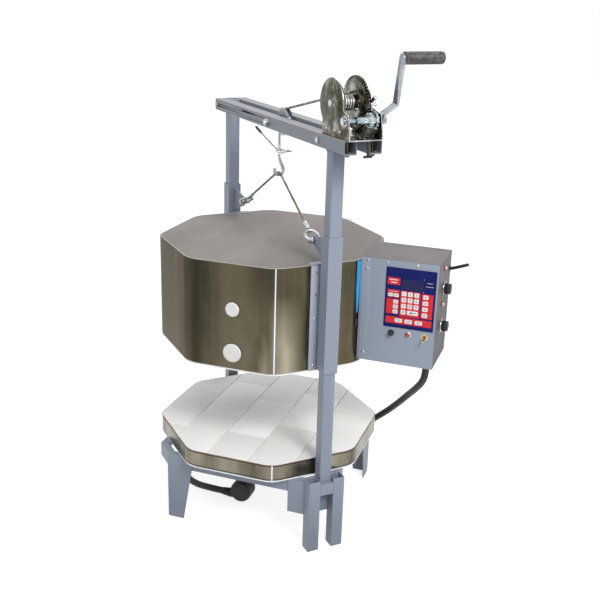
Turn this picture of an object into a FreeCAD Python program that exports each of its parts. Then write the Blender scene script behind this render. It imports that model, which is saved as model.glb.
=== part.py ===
import FreeCAD, Part
import math
import os
import re

# Octagonal top-lifting electric kiln on a stand with a winch frame, in millimetres.
# +Z is up. Heights are written from the floor, and every node is then lowered by the deck's
# height, so the origin is the centre of the kiln floor's top face. The flats of the octagon
# face X, Y and the diagonals.
# The lifting frame stands on the diagonal: its own X runs from the rear post to the front
# post, and its own Y runs sideways, towards the crank.

Vector = FreeCAD.Vector
Rotation = FreeCAD.Rotation
Placement = FreeCAD.Placement
UP = Vector(0, 0, 1)

SIZES = [
    ("deck_top", 243.0),
    ("deck_margin", 4.0),
    ("deck_corner_radius", 60.0),
    ("deck_depth", 50.0),
    ("sheet", 1.2),
    ("brick_wide", 114.3),
    ("brick_long", 228.6),
    ("mortar", 2.0),
    ("brick_gap", 0.6),
    ("bell_circumradius", 310.0),
    ("bell_raised", 248.6),
    ("bell_depth", 282.2),
    ("bend_radius", 12.0),
    ("brick_thick", 63.5),
    ("jacket_lip", 2.0),
    ("groove", 12.0),
    ("element_radius", 4.6),
    ("element_low", 15.4),
    ("element_high", 85.4),
    ("frame_shift", 10.6),
    ("post_side", 31.75),
    ("tube_wall", 2.1),
    ("sleeve_gap", 19.55),
    ("hoist_room", 89.0),
    ("beam_over", 127.0),
    ("foot_outset", 10.0),
    ("foot_gap", 38.1),
    ("foot_rise", 12.0),
    ("ring_inset", 41.1),
    ("ring_depth", 38.0),
    ("plate", 3.0),
    ("leg_top_width", 78.0),
    ("leg_bottom_width", 46.0),
    ("bracket_width", 94.0),
    ("bracket_wing", 48.0),
    ("bracket_drop", 97.0),
    ("sleeve_side", 38.1),
    ("sleeve_wall", 2.6),
    ("sleeve_above", 80.0),
    ("sleeve_below", 10.0),
    ("angle_leg", 25.0),
    ("angle_web", 10.6),
    ("lug_length", 103.0),
    ("lug_lift", 2.2),
    ("lug_tall", 69.0),
    ("lug_eye_rise", 43.0),
    ("shackle_radius", 17.5),
    ("shackle_bar", 3.5),
    ("shackle_eye", 4.2),
    ("cable_radius", 3.175),
    ("cable_drop_reach", 8.0),
    ("sheave_pitch_radius", 31.0),
    ("sheave_rim", 5.0),
    ("sheave_width", 20.0),
    ("axle_radius", 5.0),
    ("running_fit", 0.05),
    ("bridle_rise", 123.0),
    ("thimble_tall", 47.0),
    ("thimble_radius", 13.5),
    ("thimble_bar", 3.5),
    ("clip_gap", 7.0),
    ("clip_tall", 18.0),
    ("tail_reach", -150.0),
    ("tail_rise", 32.0),
    ("winch_outset", 10.0),
    ("winch_length", 130.0),
    ("winch_left_over", 12.25),
    ("winch_right_over", 9.25),
    ("drum_set_back", 41.0),
    ("drum_up", 72.5),
    ("drum_barrel_radius", 12.0),
    ("drum_wound_radius", 18.0),
    ("drum_flange_radius", 53.0),
    ("drum_gap", 3.0),
    ("drum_width", 52.0),
    ("flange_thick", 2.0),
    ("gear_module", 2.4),
    ("gear_teeth", 48.0),
    ("pinion_teeth", 12.0),
    ("pinion_angle", -25.5),
    ("gear_width", 8.0),
    ("tooth_backlash", 0.35),
    ("ratchet_radius", 21.0),
    ("ratchet_gap", 6.0),
    ("ratchet_width", 5.0),
    ("crank_radius", 136.0),
    ("crank_lean", 9.7),
    ("crank_bar", 20.0),
    ("crank_thick", 5.0),
    ("crank_offset", 30.0),
    ("grip_radius", 14.0),
    ("grip_length", 100.0),
    ("case_width", 195.0),
    ("case_front", -115.0),
    ("case_back", 45.0),
    ("case_rise", 13.4),
    ("case_tall", 276.0),
    ("case_sheet", 1.5),
    ("case_clearance", 0.6),
    ("keypad_margin", 5.0),
    ("keypad_width", 128.0),
    ("keypad_drop", 17.0),
    ("keypad_tall", 158.0),
    ("controls_drop", 16.0),
    ("knob_radius", 14.0),
    ("knob_length", 17.0),
    ("knob_low_drop", 182.0),
    ("knob_high_drop", 81.0),
    ("knob_y", -35.0),
    ("pilot_y", -47.0),
    ("pilot_low_drop", 120.0),
    ("pilot_high_drop", 23.0),
    ("peg_y", 30.0),
    ("peg_drop", 46.0),
    ("peg_length", 50.0),
    ("upper_peep_rise", 164.4),
    ("upper_peep_radius", 13.0),
    ("lower_peep_rise", 48.4),
    ("lower_peep_radius", 19.0),
    ("peep_side", 6.0),
    ("plug_head", 5.5),
    ("plug_clearance", 0.4),
    ("cord_radius", 9.5),
    ("gland_inset", 27.0),
    ("gland_y", -50.0),
    ("gland_length", 14.0),
    ("fuse_inset", 21.0),
    ("pilot_inset", 65.0),
    ("toggle_inset", 108.0),
    ("beam_bolt_radius", 4.0),
    ("mount_bolt_radius", 3.5),
    ("probe_radius", 4.0),
    ("probe_y", -60.0),
    ("probe_rise", 148.4),
    ("board_width", 110.0),
    ("board_tall", 140.0),
    ("board_thick", 1.6),
    ("board_gap", 12.0),
    ("relay_width", 50.0),
    ("relay_deep", 42.0),
    ("relay_tall", 60.0),
    ("relay_inset", 20.0),
    ("relay_apart", 70.0),
    ("relay_rise", 45.0),
    ("relay_step", 90.0),
    ("pilot_head", 7.0),
    ("pilot_depth", 18.0),
]

HALF_FLAT = math.radians(22.5)
COS_FLAT = math.cos(HALF_FLAT)


def flat_of(circumradius):
    return circumradius * COS_FLAT


def following_sizes(size):
    """Heights and reaches that follow from the driving sizes and the gaps between the pieces."""
    size["deck_circumradius"] = size["bell_circumradius"] + size["deck_margin"]
    size["bell_bottom"] = size["deck_top"] + size["bell_raised"]
    size["post_reach"] = flat_of(size["bell_circumradius"]) + size["sleeve_gap"] + size["sleeve_side"] / 2
    size["foot_reach"] = size["post_reach"] + size["foot_outset"]
    size["foot_top"] = size["deck_top"] - size["deck_depth"] + size["foot_rise"]
    size["ring_half"] = flat_of(size["deck_circumradius"]) - size["ring_inset"]
    size["lug_reach"] = size["post_reach"] - size["lug_length"]
    size["lug_low"] = size["bell_bottom"] + size["bell_depth"] + size["lug_lift"]
    size["lug_high"] = size["lug_low"] + size["lug_tall"]
    size["lug_eye"] = size["lug_low"] + size["lug_eye_rise"]
    size["thimble_low"] = size["lug_eye"] + size["bridle_rise"]
    size["thimble_high"] = size["thimble_low"] + size["thimble_tall"]
    size["clip_low"] = size["thimble_high"] + size["clip_gap"]
    size["clip_high"] = size["clip_low"] + size["clip_tall"]
    size["tail_high"] = size["clip_high"] + size["tail_rise"]
    size["beam_top"] = size["clip_high"] + size["hoist_room"]
    size["beam_front"] = size["post_reach"] + size["beam_over"]
    size["sheave_reach"] = size["cable_drop_reach"] + size["sheave_pitch_radius"]
    size["winch_rear"] = size["post_reach"] + size["winch_outset"]
    size["winch_front"] = size["winch_rear"] + size["winch_length"]
    size["winch_left"] = -size["post_side"] - size["winch_left_over"]
    size["winch_right"] = size["post_side"] + size["winch_right_over"]
    size["drum_reach"] = size["winch_rear"] + size["drum_set_back"]
    size["drum_left"] = size["winch_left"] + size["plate"] + size["drum_gap"]
    size["drum_right"] = size["drum_left"] + size["drum_width"]
    size["ratchet_left"] = (size["winch_right"] - size["plate"] - size["ratchet_gap"]
                            - size["ratchet_width"])
    size["case_left"] = flat_of(size["bell_circumradius"]) + size["case_clearance"]
    size["case_right"] = size["case_left"] + size["case_width"]
    size["case_bottom"] = size["bell_bottom"] + size["case_rise"]
    size["case_top"] = size["case_bottom"] + size["case_tall"]
    size["keypad_left"] = size["case_right"] - size["keypad_margin"] - size["keypad_width"]
    size["keypad_bottom"] = size["case_top"] - size["keypad_drop"] - size["keypad_tall"]
    size["row_of_controls"] = size["keypad_bottom"] - size["controls_drop"]
    for piece in ("knob_low", "knob_high", "pilot_low", "pilot_high"):
        size[piece] = size["case_top"] - size[piece + "_drop"]
    size["peg_up"] = size["case_top"] - size["peg_drop"]
    for piece in ("fuse", "pilot", "toggle"):
        size[piece + "_x"] = size["keypad_left"] + size[piece + "_inset"]
    size["gland_x"] = size["case_right"] - size["gland_inset"]
    for piece in ("upper_peep", "lower_peep", "probe"):
        size[piece + "_up"] = size["bell_bottom"] + size[piece + "_rise"]
    return size


doc = FreeCAD.newDocument("Kiln")
sheet = doc.addObject("Spreadsheet::Sheet", "Sizes")
value = following_sizes(dict(SIZES))
for row, (alias, number) in enumerate(value.items(), start=1):
    sheet.set("A%d" % row, alias)
    sheet.set("B%d" % row, repr(number))
    sheet.setAlias("B%d" % row, alias)
doc.recompute()

DIAGONAL = Placement(Vector(), Rotation(UP, -45))
SIDES = 8
nodes = []


def linked(expression):
    """Write an expression on the sheet's names."""
    return re.sub(r"[a-z]+(_[a-z]+)+|plate|sheet|mortar|groove",
                  lambda found: "Sizes." + found.group(0), str(expression))


def bind(thing, **expressions):
    for name, expression in expressions.items():
        thing.setExpression(name.replace("__", "."), linked(expression))


def place(thing, x, y, z):
    bind(thing, Placement__Base__x=x, Placement__Base__y=y, Placement__Base__z=z)


def box(size_x, size_y, size_z, x, y, z):
    """A block from its low corner."""
    thing = doc.addObject("Part::Box", "Block")
    bind(thing, Length=size_x, Width=size_y, Height=size_z)
    place(thing, x, y, z)
    return thing


def bar(size_x, size_y, size_z, x, y, z):
    """A block centred on x and y, standing on z."""
    return box(size_x, size_y, size_z, "%s - (%s) / 2" % (x, size_x), "%s - (%s) / 2" % (y, size_y), z)


TURNS = {"z": Rotation(), "x": Rotation(Vector(0, 1, 0), 90), "y": Rotation(Vector(1, 0, 0), -90)}


def rod(radius, length, x, y, z, along="z"):
    """A round bar that starts at x, y, z and runs along one axis."""
    thing = doc.addObject("Part::Cylinder", "Rod")
    thing.Placement = Placement(Vector(), TURNS[along])
    bind(thing, Radius=radius, Height=length)
    place(thing, x, y, z)
    return thing


def taper(radius_low, radius_high, length, x, y, z, along="z"):
    thing = doc.addObject("Part::Cone", "Taper")
    thing.Placement = Placement(Vector(), TURNS[along])
    bind(thing, Radius1=radius_low, Radius2=radius_high, Height=length)
    place(thing, x, y, z)
    return thing


def octagon(circumradius, depth, z):
    """An eight-sided block whose flats face X, Y and the diagonals."""
    thing = doc.addObject("Part::Prism", "Octagon")
    thing.Polygon = SIDES
    thing.Placement = Placement(Vector(), Rotation(UP, 22.5))
    bind(thing, Circumradius=circumradius, Height=depth, Placement__Base__z=z)
    return thing


def rounded(base, radius):
    """The same block with its upright edges rounded."""
    doc.recompute()
    upright = []
    for number, edge in enumerate(base.Shape.Edges, start=1):
        low, high = edge.Vertexes[0].Point, edge.Vertexes[-1].Point
        if abs(low.x - high.x) < 1e-6 and abs(low.y - high.y) < 1e-6:
            upright.append((number, radius, radius))
    thing = doc.addObject("Part::Fillet", "Rounded")
    thing.Base = base
    thing.Edges = upright
    return thing


def cut(base, *tools):
    for tool in tools:
        thing = doc.addObject("Part::Cut", "Cut")
        thing.Base = base
        thing.Tool = tool
        base = thing
    return base


def fuse(*pieces):
    thing = doc.addObject("Part::MultiFuse", "Fuse")
    thing.Shapes = list(pieces)
    thing.Refine = True
    return thing


def square_tube(side, wall, length, x, y, z):
    """An upright square tube centred on x and y."""
    outside = bar(side, side, length, x, y, z)
    inner = "(%s) - 2 * (%s)" % (side, wall)
    return cut(outside, bar(inner, inner, length, x, y, z))


def shaped(shape):
    """A solid worked out from the sheet's values."""
    thing = doc.addObject("Part::Feature", "Solid")
    thing.Shape = shape
    return thing


def node(name, *pieces, diagonal=False):
    """One sub-part: its pieces as separate solids under one name."""
    thing = doc.addObject("Part::Compound", name)
    thing.Label = name
    thing.Links = list(pieces)
    bind(thing, Placement__Base__z="-deck_top")
    if diagonal:
        thing.Placement = DIAGONAL
        shift = "frame_shift * cos(45 deg)"
        bind(thing, Placement__Base__x=shift, Placement__Base__y=shift)
    nodes.append(thing)
    return thing


def prism_of(points, direction):
    """A flat outline pushed along a direction."""
    return Part.Face(Part.makePolygon(points + [points[0]])).extrude(direction)


def pad_body(outline, thickness, role, lift):
    """A plate made as a sketch of straight sides, padded to its thickness."""
    body = doc.addObject("PartDesign::Body", "Plate")
    plane = [part for part in body.Origin.OriginFeatures if part.Role == role][0]
    sketch = body.newObject("Sketcher::SketchObject", "Outline")
    sketch.AttachmentSupport = [(plane, "")]
    sketch.MapMode = "FlatFace"
    for start, end in zip(outline, outline[1:] + outline[:1]):
        sketch.addGeometry(Part.LineSegment(Vector(*start, 0), Vector(*end, 0)), False)
    pad = body.newObject("PartDesign::Pad", "Thickness")
    pad.Profile = sketch
    bind(pad, Length=thickness)
    pad.Midplane = True
    body.Tip = pad
    bind(body, **{lift[0]: lift[1]})
    return body


def corner_arc(before, corner, after, radius):
    """The points where an arc of this radius leaves and rejoins the two runs at a corner."""
    one = (before - corner).normalize()
    two = (after - corner).normalize()
    turn = math.pi - one.getAngle(two)
    reach = radius * math.tan(turn / 2)
    middle = (one + two).normalize()
    bulge = radius / math.cos(turn / 2) - radius
    return corner + one * reach, corner + middle * bulge, corner + two * reach


def corner_radius(before, corner, after, share=0.45):
    turn = math.pi - (before - corner).getAngle(after - corner)
    shorter = min((before - corner).Length, (after - corner).Length)
    return share * shorter / math.tan(turn / 2)


def tube_along(points, radius, label, bend=None):
    """A round tube along straight runs joined by tangent arcs, checked by its volume."""
    edges = []
    radii = []
    start = points[0]
    for before, corner, after in zip(points, points[1:], points[2:]):
        arc_radius = bend if bend else corner_radius(before, corner, after)
        radii.append(arc_radius)
        first, middle, last = corner_arc(before, corner, after, arc_radius)
        edges.append(Part.LineSegment(start, first).toShape())
        edges.append(Part.Arc(first, middle, last).toShape())
        start = last
    edges.append(Part.LineSegment(start, points[-1]).toShape())
    path = Part.Wire(edges)
    ring = Part.Wire(Part.Circle(points[0], points[1] - points[0], radius).toShape())
    tube = path.makePipeShell([ring], True, False)
    expected = math.pi * radius ** 2 * path.Length
    if abs(tube.Volume / expected - 1) > 0.01:
        raise ValueError(label + ": the tube's volume doesn't match its path")
    print(label, "length", round(path.Length, 1), "radii", [round(r) for r in radii])
    return tube


# Floor: firebrick rows in a steel pan, on a folded ring with two legs

PAN_BOTTOM = "(deck_top - deck_depth)"
ROW_SHIFT = 50.3
CROSS_JOINTS = [62.0, -57.0, 79.0, -61.0, 81.0]


def make_floor():
    inner = value["deck_circumradius"] - value["sheet"] / COS_FLAT
    corner = value["deck_corner_radius"]
    outside = rounded(octagon("deck_circumradius", "deck_depth - 1", PAN_BOTTOM), corner)
    hollow = rounded(octagon("deck_circumradius - sheet / cos(22.5 deg)", "deck_depth",
                             PAN_BOTTOM + " + sheet"), corner - value["sheet"])
    node("floor_band", cut(outside, hollow))
    gap = value["brick_gap"]
    slab = Part.makePolygon([Vector(*point) for point in octagon_points(inner - gap)])
    bottom = value["deck_top"] - value["deck_depth"] + value["sheet"]
    tall = value["deck_top"] - bottom
    body = Part.Face(slab).extrude(Vector(0, 0, tall))
    edges = [e for e in body.Edges if abs(e.Vertexes[0].Z - e.Vertexes[-1].Z) > 1]
    body = body.makeFillet(corner - value["sheet"] - gap, edges)
    body.translate(Vector(0, 0, bottom))
    pitch = value["brick_wide"] + value["mortar"]
    bricks = []
    for index, joint in enumerate(CROSS_JOINTS):
        x = ROW_SHIFT + (index - 3) * pitch
        wide = pitch - gap
        left = x
        if index == 0:
            left, wide = -inner, x + pitch - gap + inner
        if index == len(CROSS_JOINTS) - 1:
            wide = inner - x
        for low, high in brick_spans(joint, inner):
            blank = Part.makeBox(wide, high - low - gap, tall, Vector(left, low, bottom))
            brick = body.common(blank)
            bricks.extend(shaped(solid) for solid in brick.Solids if solid.Volume > 1000)
    node("floor_bricks", *bricks)


def octagon_points(circumradius, z=0.0):
    """The eight corners and the first again."""
    corners = []
    for side in range(SIDES + 1):
        angle = HALF_FLAT + side * 2 * HALF_FLAT
        corners.append((circumradius * math.cos(angle), circumradius * math.sin(angle), z))
    return corners


def brick_spans(joint, reach):
    """Cut a row into whole bricks on each side of one cross joint."""
    pitch = value["brick_long"] + value["mortar"]
    joints = [joint + step * pitch for step in range(-3, 4)]
    inside = [-reach] + [y for y in joints if abs(y) < reach - 40] + [reach]
    return list(zip(inside, inside[1:]))


def ring_outline(half, across):
    """A square with its four corners cut off at the diagonal distance across."""
    rest = across * math.sqrt(2) - half
    corners = []
    for turn in range(4):
        for x, y in ((half, -rest), (half, rest)):
            angle = turn * math.pi / 2
            corners.append(Vector(x * math.cos(angle) - y * math.sin(angle),
                                  x * math.sin(angle) + y * math.cos(angle), 0))
    return corners


def make_stand():
    plate = value["plate"]
    half = value["ring_half"]
    side = value["post_side"]
    across = value["foot_reach"] - side / 2 - plate
    top = value["deck_top"] - value["deck_depth"]
    depth = value["ring_depth"]
    bend = math.tan(HALF_FLAT)
    outer = prism_of(ring_outline(half, across), Vector(0, 0, depth))
    inner = prism_of(ring_outline(half - plate, across - plate), Vector(0, 0, depth))
    flange = prism_of(ring_outline(half - 20, across - 20), Vector(0, 0, depth))
    lip = prism_of(ring_outline(half, across), Vector(0, 0, plate)).cut(flange)
    lip.translate(Vector(0, 0, depth - plate))
    ring = outer.cut(inner).fuse(lip).removeSplitter()
    ring.translate(Vector(0, 0, top - depth))
    node("stand_ring", shaped(ring))
    corner = across * math.sqrt(2) - half
    outer.translate(Vector(0, 0, top - depth))
    legs = []
    for mirrored in (False, True):
        leg = leg_shape(plate, top)
        leg.translate(Vector(-corner - plate, -half - plate, 0))
        leg = max(leg.cut(outer).Solids, key=lambda solid: solid.Volume)
        if mirrored:
            leg = leg.mirror(Vector(), Vector(1, 1, 0))
        legs.append(shaped(leg))
    node("stand_legs", *legs)
    width = value["bracket_width"]
    wing = value["bracket_wing"]
    drop = value["bracket_drop"]
    low = top - drop
    brackets = []
    for turn in (0, 180):
        outline = [Vector(0, -width / 2, 0), Vector(plate, -width / 2 - plate * bend, 0)]
        reach = wing * math.cos(math.pi / 4)
        outer_end = Vector(plate - reach, -width / 2 - plate * bend - reach, 0)
        inner_end = outer_end + Vector(-plate, plate, 0) * math.sqrt(0.5)
        outline = [Vector(0, -width / 2, 0), inner_end, outer_end,
                   Vector(plate, -width / 2 - plate * bend, 0)]
        other = [Vector(point.x, -point.y, 0) for point in reversed(outline)]
        bracket = prism_of(outline + other, Vector(0, 0, drop))
        bracket.translate(Vector(across, 0, low))
        bracket.rotate(Vector(), UP, turn)
        brackets.append(shaped(bracket))
    node("post_brackets", *brackets, diagonal=True)


def leg_shape(plate, top):
    """A tapered angle: two flanges that meet at an upright corner."""
    wide = value["leg_top_width"]
    narrow = value["leg_bottom_width"]
    across_x = prism_of([Vector(0, 0, 0), Vector(narrow, 0, 0), Vector(wide, 0, top), Vector(0, 0, top)],
                        Vector(0, plate, 0))
    across_y = prism_of([Vector(0, 0, 0), Vector(0, narrow, 0), Vector(0, wide, top), Vector(0, 0, top)],
                        Vector(plate, 0, 0))
    return across_x.fuse(across_y).removeSplitter()


def make_frame():
    """Two posts on paired feet, and a beam of two tubes that hold the posts between them."""
    base = "(deck_top - deck_depth)"
    for name, sign in (("front", ""), ("rear", "-")):
        reach = "(%sfoot_reach)" % sign
        centre = "(foot_gap / 2 + post_side / 2)"
        feet = [square_tube("post_side", "tube_wall", "foot_top", reach, side + centre, "0")
                for side in ("-", "")]
        cross = cut(bar("post_side", "foot_gap", "post_side", reach, "0", base + " - post_side"),
                    bar("post_side - 2 * tube_wall", "foot_gap", "post_side - 2 * tube_wall", reach,
                        "0", base + " - post_side + tube_wall"))
        node(name + "_feet", feet[0], feet[1], cross, diagonal=True)
        post = square_tube("post_side", "tube_wall", "beam_top - %s" % base,
                           "(%spost_reach)" % sign, "0", base)
        hole = rod("beam_bolt_radius", "post_side * 2", "(%spost_reach)" % sign, "-post_side",
                   "beam_top - post_side / 2", "y")
        node(name + "_post", cut(post, hole), diagonal=True)
    for name, sign in (("left", "-"), ("right", "")):
        length = "(beam_front + post_reach + post_side / 2)"
        low = "-(post_reach + post_side / 2)"
        y = "(%spost_side)" % sign
        outer = box(length, "post_side", "post_side", low, y + " - post_side / 2", "beam_top - post_side")
        inner = box(length, "post_side - 2 * tube_wall", "post_side - 2 * tube_wall", low,
                    y + " - post_side / 2 + tube_wall", "beam_top - post_side + tube_wall")
        holes = [rod("axle_radius + running_fit", "post_side * 2", "sheave_reach", y + " - post_side",
                     "beam_top - post_side / 2", "y")]
        holes += [rod("beam_bolt_radius", "post_side * 2", end, y + " - post_side",
                      "beam_top - post_side / 2", "y") for end in ("-post_reach", "post_reach")]
        holes += [rod("mount_bolt_radius", "post_side * 2", x, y, "beam_top - post_side * 1.5")
                  for x in WINCH_BOLTS]
        node("beam_tube_" + name, cut(outer, inner, *holes), diagonal=True)


WINCH_BOLTS = ["(winch_rear + 15)", "(winch_front - 30)"]


def hex_piece(across, length, x, y, z, along):
    thing = doc.addObject("Part::Prism", "Hex")
    thing.Polygon = 6
    thing.Placement = Placement(Vector(), TURNS[along])
    bind(thing, Circumradius="(%s) / 2 / cos(30 deg)" % across, Height=length)
    place(thing, x, y, z)
    return thing


def make_bolts():
    z = "(beam_top - post_side / 2)"
    bolts = []
    for end in ("-post_reach", "post_reach"):
        bolts.append(fuse(rod("beam_bolt_radius - running_fit", "post_side * 3 + 12", end,
                              "-post_side * 1.5 - 2", z, "y"),
                          hex_piece("12.7", "5", end, "-post_side * 1.5 - 5", z, "y"),
                          hex_piece("12.7", "6", end, "post_side * 1.5", z, "y")))
    node("beam_bolts", *bolts, diagonal=True)
    shank = rod("axle_radius", "post_side * 3 + 14", "sheave_reach", "-post_side * 1.5 - 12", z, "y")
    head = hex_piece("17", "7", "sheave_reach", "post_side * 1.5", z, "y")
    nut = hex_piece("17", "9", "sheave_reach", "-post_side * 1.5 - 9", z, "y")
    spacer_length = "(post_side - sheave_width) / 2 - 0.3"
    spacers = [rod("axle_radius + 4", spacer_length, "sheave_reach", start, z, "y")
               for start in ("-post_side / 2", "sheave_width / 2 + 0.3")]
    node("sheave_axle", fuse(shank, head, nut, *spacers), diagonal=True)
    low = "(beam_top - post_side - 6)"
    mounts = []
    for x in WINCH_BOLTS:
        for y in ("-post_side", "post_side"):
            mounts.append(fuse(rod("mount_bolt_radius - running_fit", "post_side + plate + 15", x, y, low),
                               hex_piece("11", "5", x, y, "beam_top + plate", "z"),
                               hex_piece("11", "5.9", x, y, low, "z")))
    wing_x, wing_y = "(winch_front - 8)", "9"
    stem = rod("3", "38", wing_x, wing_y, "beam_top - 38 + plate")
    stem_head = hex_piece("11", "5", wing_x, wing_y, "beam_top + plate", "z")
    wings = box("3", "22", "5", "winch_front - 9.5", "-2", "beam_top - 38")
    mounts.append(fuse(stem, stem_head, wings))
    node("winch_bolts", *mounts, diagonal=True)


# Bell: brick roof and walls in a stainless jacket, with the lift sleeves

def bell_top():
    return value["bell_bottom"] + value["bell_depth"]


def wall_height():
    return value["bell_depth"] - value["brick_thick"]


def make_bell():
    jacket_low = "(bell_bottom + jacket_lip)"
    jacket_tall = "(bell_depth - 2 * jacket_lip)"
    bend = value["bend_radius"]
    outside = rounded(octagon("bell_circumradius", jacket_tall, jacket_low), bend)
    hollow = rounded(octagon("bell_circumradius - sheet / cos(22.5 deg)", jacket_tall, jacket_low),
                     bend - value["sheet"])
    holes = [rod("%s_peep_radius + plug_clearance" % which, "60", "peep_side",
                 "-bell_circumradius", "%s_peep_up" % which, "y") for which in ("upper", "lower")]
    holes.append(rod("probe_radius + 1", "60", "bell_circumradius - 50", "probe_y", "probe_up", "x"))
    node("jacket", cut(outside, hollow, *holes))
    gap = value["brick_gap"]
    outer = flat_of(value["bell_circumradius"]) - value["sheet"] - 0.3
    inner = outer - value["brick_thick"]
    course = wall_height() / 2
    across = value["bell_circumradius"]
    holes = [Part.makeCylinder(value[which + "_peep_radius"] + value["plug_clearance"], across,
                               Vector(value["peep_side"], -across, value[which + "_peep_up"]),
                               Vector(0, 1, 0)) for which in ("upper", "lower")]
    holes.append(Part.makeCylinder(value["probe_radius"] + 0.3, across,
                                   Vector(across / 2, value["probe_y"], value["probe_up"]), Vector(1, 0, 0)))
    bricks = []
    for level in range(2):
        low = value["bell_bottom"] + level * course
        for side in range(SIDES):
            brick = wall_brick(inner, outer, course - gap, low, side * 45)
            for hole in holes:
                brick = brick.cut(hole)
            bricks.append(shaped(brick))
    node("wall_bricks", *bricks)
    make_roof(outer - 0.3)
    make_elements(inner)


def wall_brick(inner, outer, tall, low, turn):
    """One mitred wall brick with two grooves on its hot face."""
    gap = value["brick_gap"] / 2
    spread = math.tan(HALF_FLAT)
    trimmed = gap / COS_FLAT
    bend = value["bend_radius"]
    eased = outer - bend * (1 - COS_FLAT)
    outline = [Vector(inner, -inner * spread + trimmed, 0), Vector(eased, -eased * spread + trimmed, 0),
               Vector(outer, (bend - outer) * spread, 0), Vector(outer, (outer - bend) * spread, 0),
               Vector(eased, eased * spread - trimmed, 0), Vector(inner, inner * spread - trimmed, 0)]
    brick = prism_of(outline, Vector(0, 0, tall))
    deep = value["groove"]
    for up in (value["element_low"], value["element_high"]):
        brick = brick.cut(Part.makeBox(deep, 2 * outer, deep, Vector(inner, -outer, up - deep / 2)))
    brick.translate(Vector(0, 0, low))
    brick.rotate(Vector(), UP, turn)
    return brick


def make_roof(outer):
    """Roof bricks on edge over the chamber, cemented into one octagonal slab."""
    low = value["bell_bottom"] + wall_height()
    tall = value["brick_thick"]
    gap = value["brick_gap"]
    whole = Part.Face(Part.makePolygon([Vector(*p) for p in octagon_points(outer / COS_FLAT, low)]))
    whole = whole.extrude(Vector(0, 0, tall))
    upright = [e for e in whole.Edges if abs(e.Vertexes[0].Z - e.Vertexes[-1].Z) > 1]
    whole = whole.makeFillet(value["bend_radius"], upright)
    pitch = value["brick_wide"] + value["mortar"]
    bricks = []
    for row in range(-2, 3):
        left = (row - 0.5) * pitch
        wide = pitch - gap
        if row == -2:
            left, wide = -outer, outer + (row + 0.5) * pitch - gap
        if row == 2:
            wide = outer - left
        for joint in (joint for joint in [(-1) ** row * value["brick_long"] / 4]):
            for near, far in ((-outer, joint), (joint + gap, outer)):
                blank = Part.makeBox(wide, far - near, tall, Vector(left, near, low))
                bricks.extend(shaped(piece) for piece in whole.common(blank).Solids)
    node("roof_bricks", *bricks)


def make_elements(inner):
    """Four rings of coiled wire, each in its groove round the eight hot faces."""
    radius = value["element_radius"]
    flat = inner + value["groove"] - radius - 0.3
    course = wall_height() / 2
    rings = []
    for level in range(2):
        for up in (value["element_low"], value["element_high"]):
            z = value["bell_bottom"] + level * course + up - value["groove"] / 2 + radius + 0.2
            corners = [Vector(*point) for point in octagon_points(flat / COS_FLAT, z)]
            start = (corners[0] + corners[1]) / 2
            route = Part.makePolygon([start] + corners[1:] + [start])
            section = Part.Wire(Part.Circle(start, corners[1] - corners[0], radius).toShape())
            rings.append(shaped(route.makePipeShell([section], True, False, 2)))
    node("heating_elements", *rings)


def make_lift_gear():
    """Sleeves that slide on the posts, and what ties them to the bell and to the cable."""
    face = "(bell_circumradius * cos(22.5 deg))"
    low = "(bell_bottom + sleeve_below)"
    length = "(bell_depth + sleeve_above - sleeve_below)"
    for name, sign in (("front", ""), ("rear", "-")):
        node(name + "_sleeve", square_tube("sleeve_side", "sleeve_wall", length,
                                           "(%spost_reach)" % sign, "0", low), diagonal=True)
    angles = []
    for sign in (1, -1):
        tall = "(bell_depth - 2 * sleeve_below)"
        near = face if sign > 0 else "-%s - plate" % face
        sleeve_face = "(post_reach - sleeve_side / 2)"
        web_start = face if sign > 0 else "-%s" % sleeve_face
        for flange_y, web_y in (("-angle_web - angle_leg + plate", "-angle_web"),
                                ("angle_web - plate", "angle_web - plate")):
            flange = box("plate", "angle_leg", tall, near, flange_y, low)
            web = box("%s - %s" % (sleeve_face, face), "plate", tall, web_start, web_y, low)
            angles.append(fuse(flange, web))
    node("bracket_angles", *angles, diagonal=True)
    lugs = []
    tip = value["lug_reach"]
    root = value["post_reach"] - value["sleeve_side"] / 2
    eye = value["lug_eye"]
    outline = [(root, value["lug_low"]), (root, value["lug_high"]), (tip + 6, eye + 12),
               (tip - 4, eye), (tip + 6, eye - 12)]
    for sign in (1, -1):
        plate = pad_body([(sign * x, z) for x, z in outline], "plate", "XZ_Plane",
                         ("Placement.Base.y", "0"))
        lugs.append(cut(plate, rod("shackle_eye", "20", "%d * (lug_reach + 6)" % sign, "-10",
                                   "lug_eye", "y")))
    node("lift_lugs", *lugs, diagonal=True)


def diagonal_ring(centre, big, small, normal):
    return Part.makeTorus(big, small, centre, normal)


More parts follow.
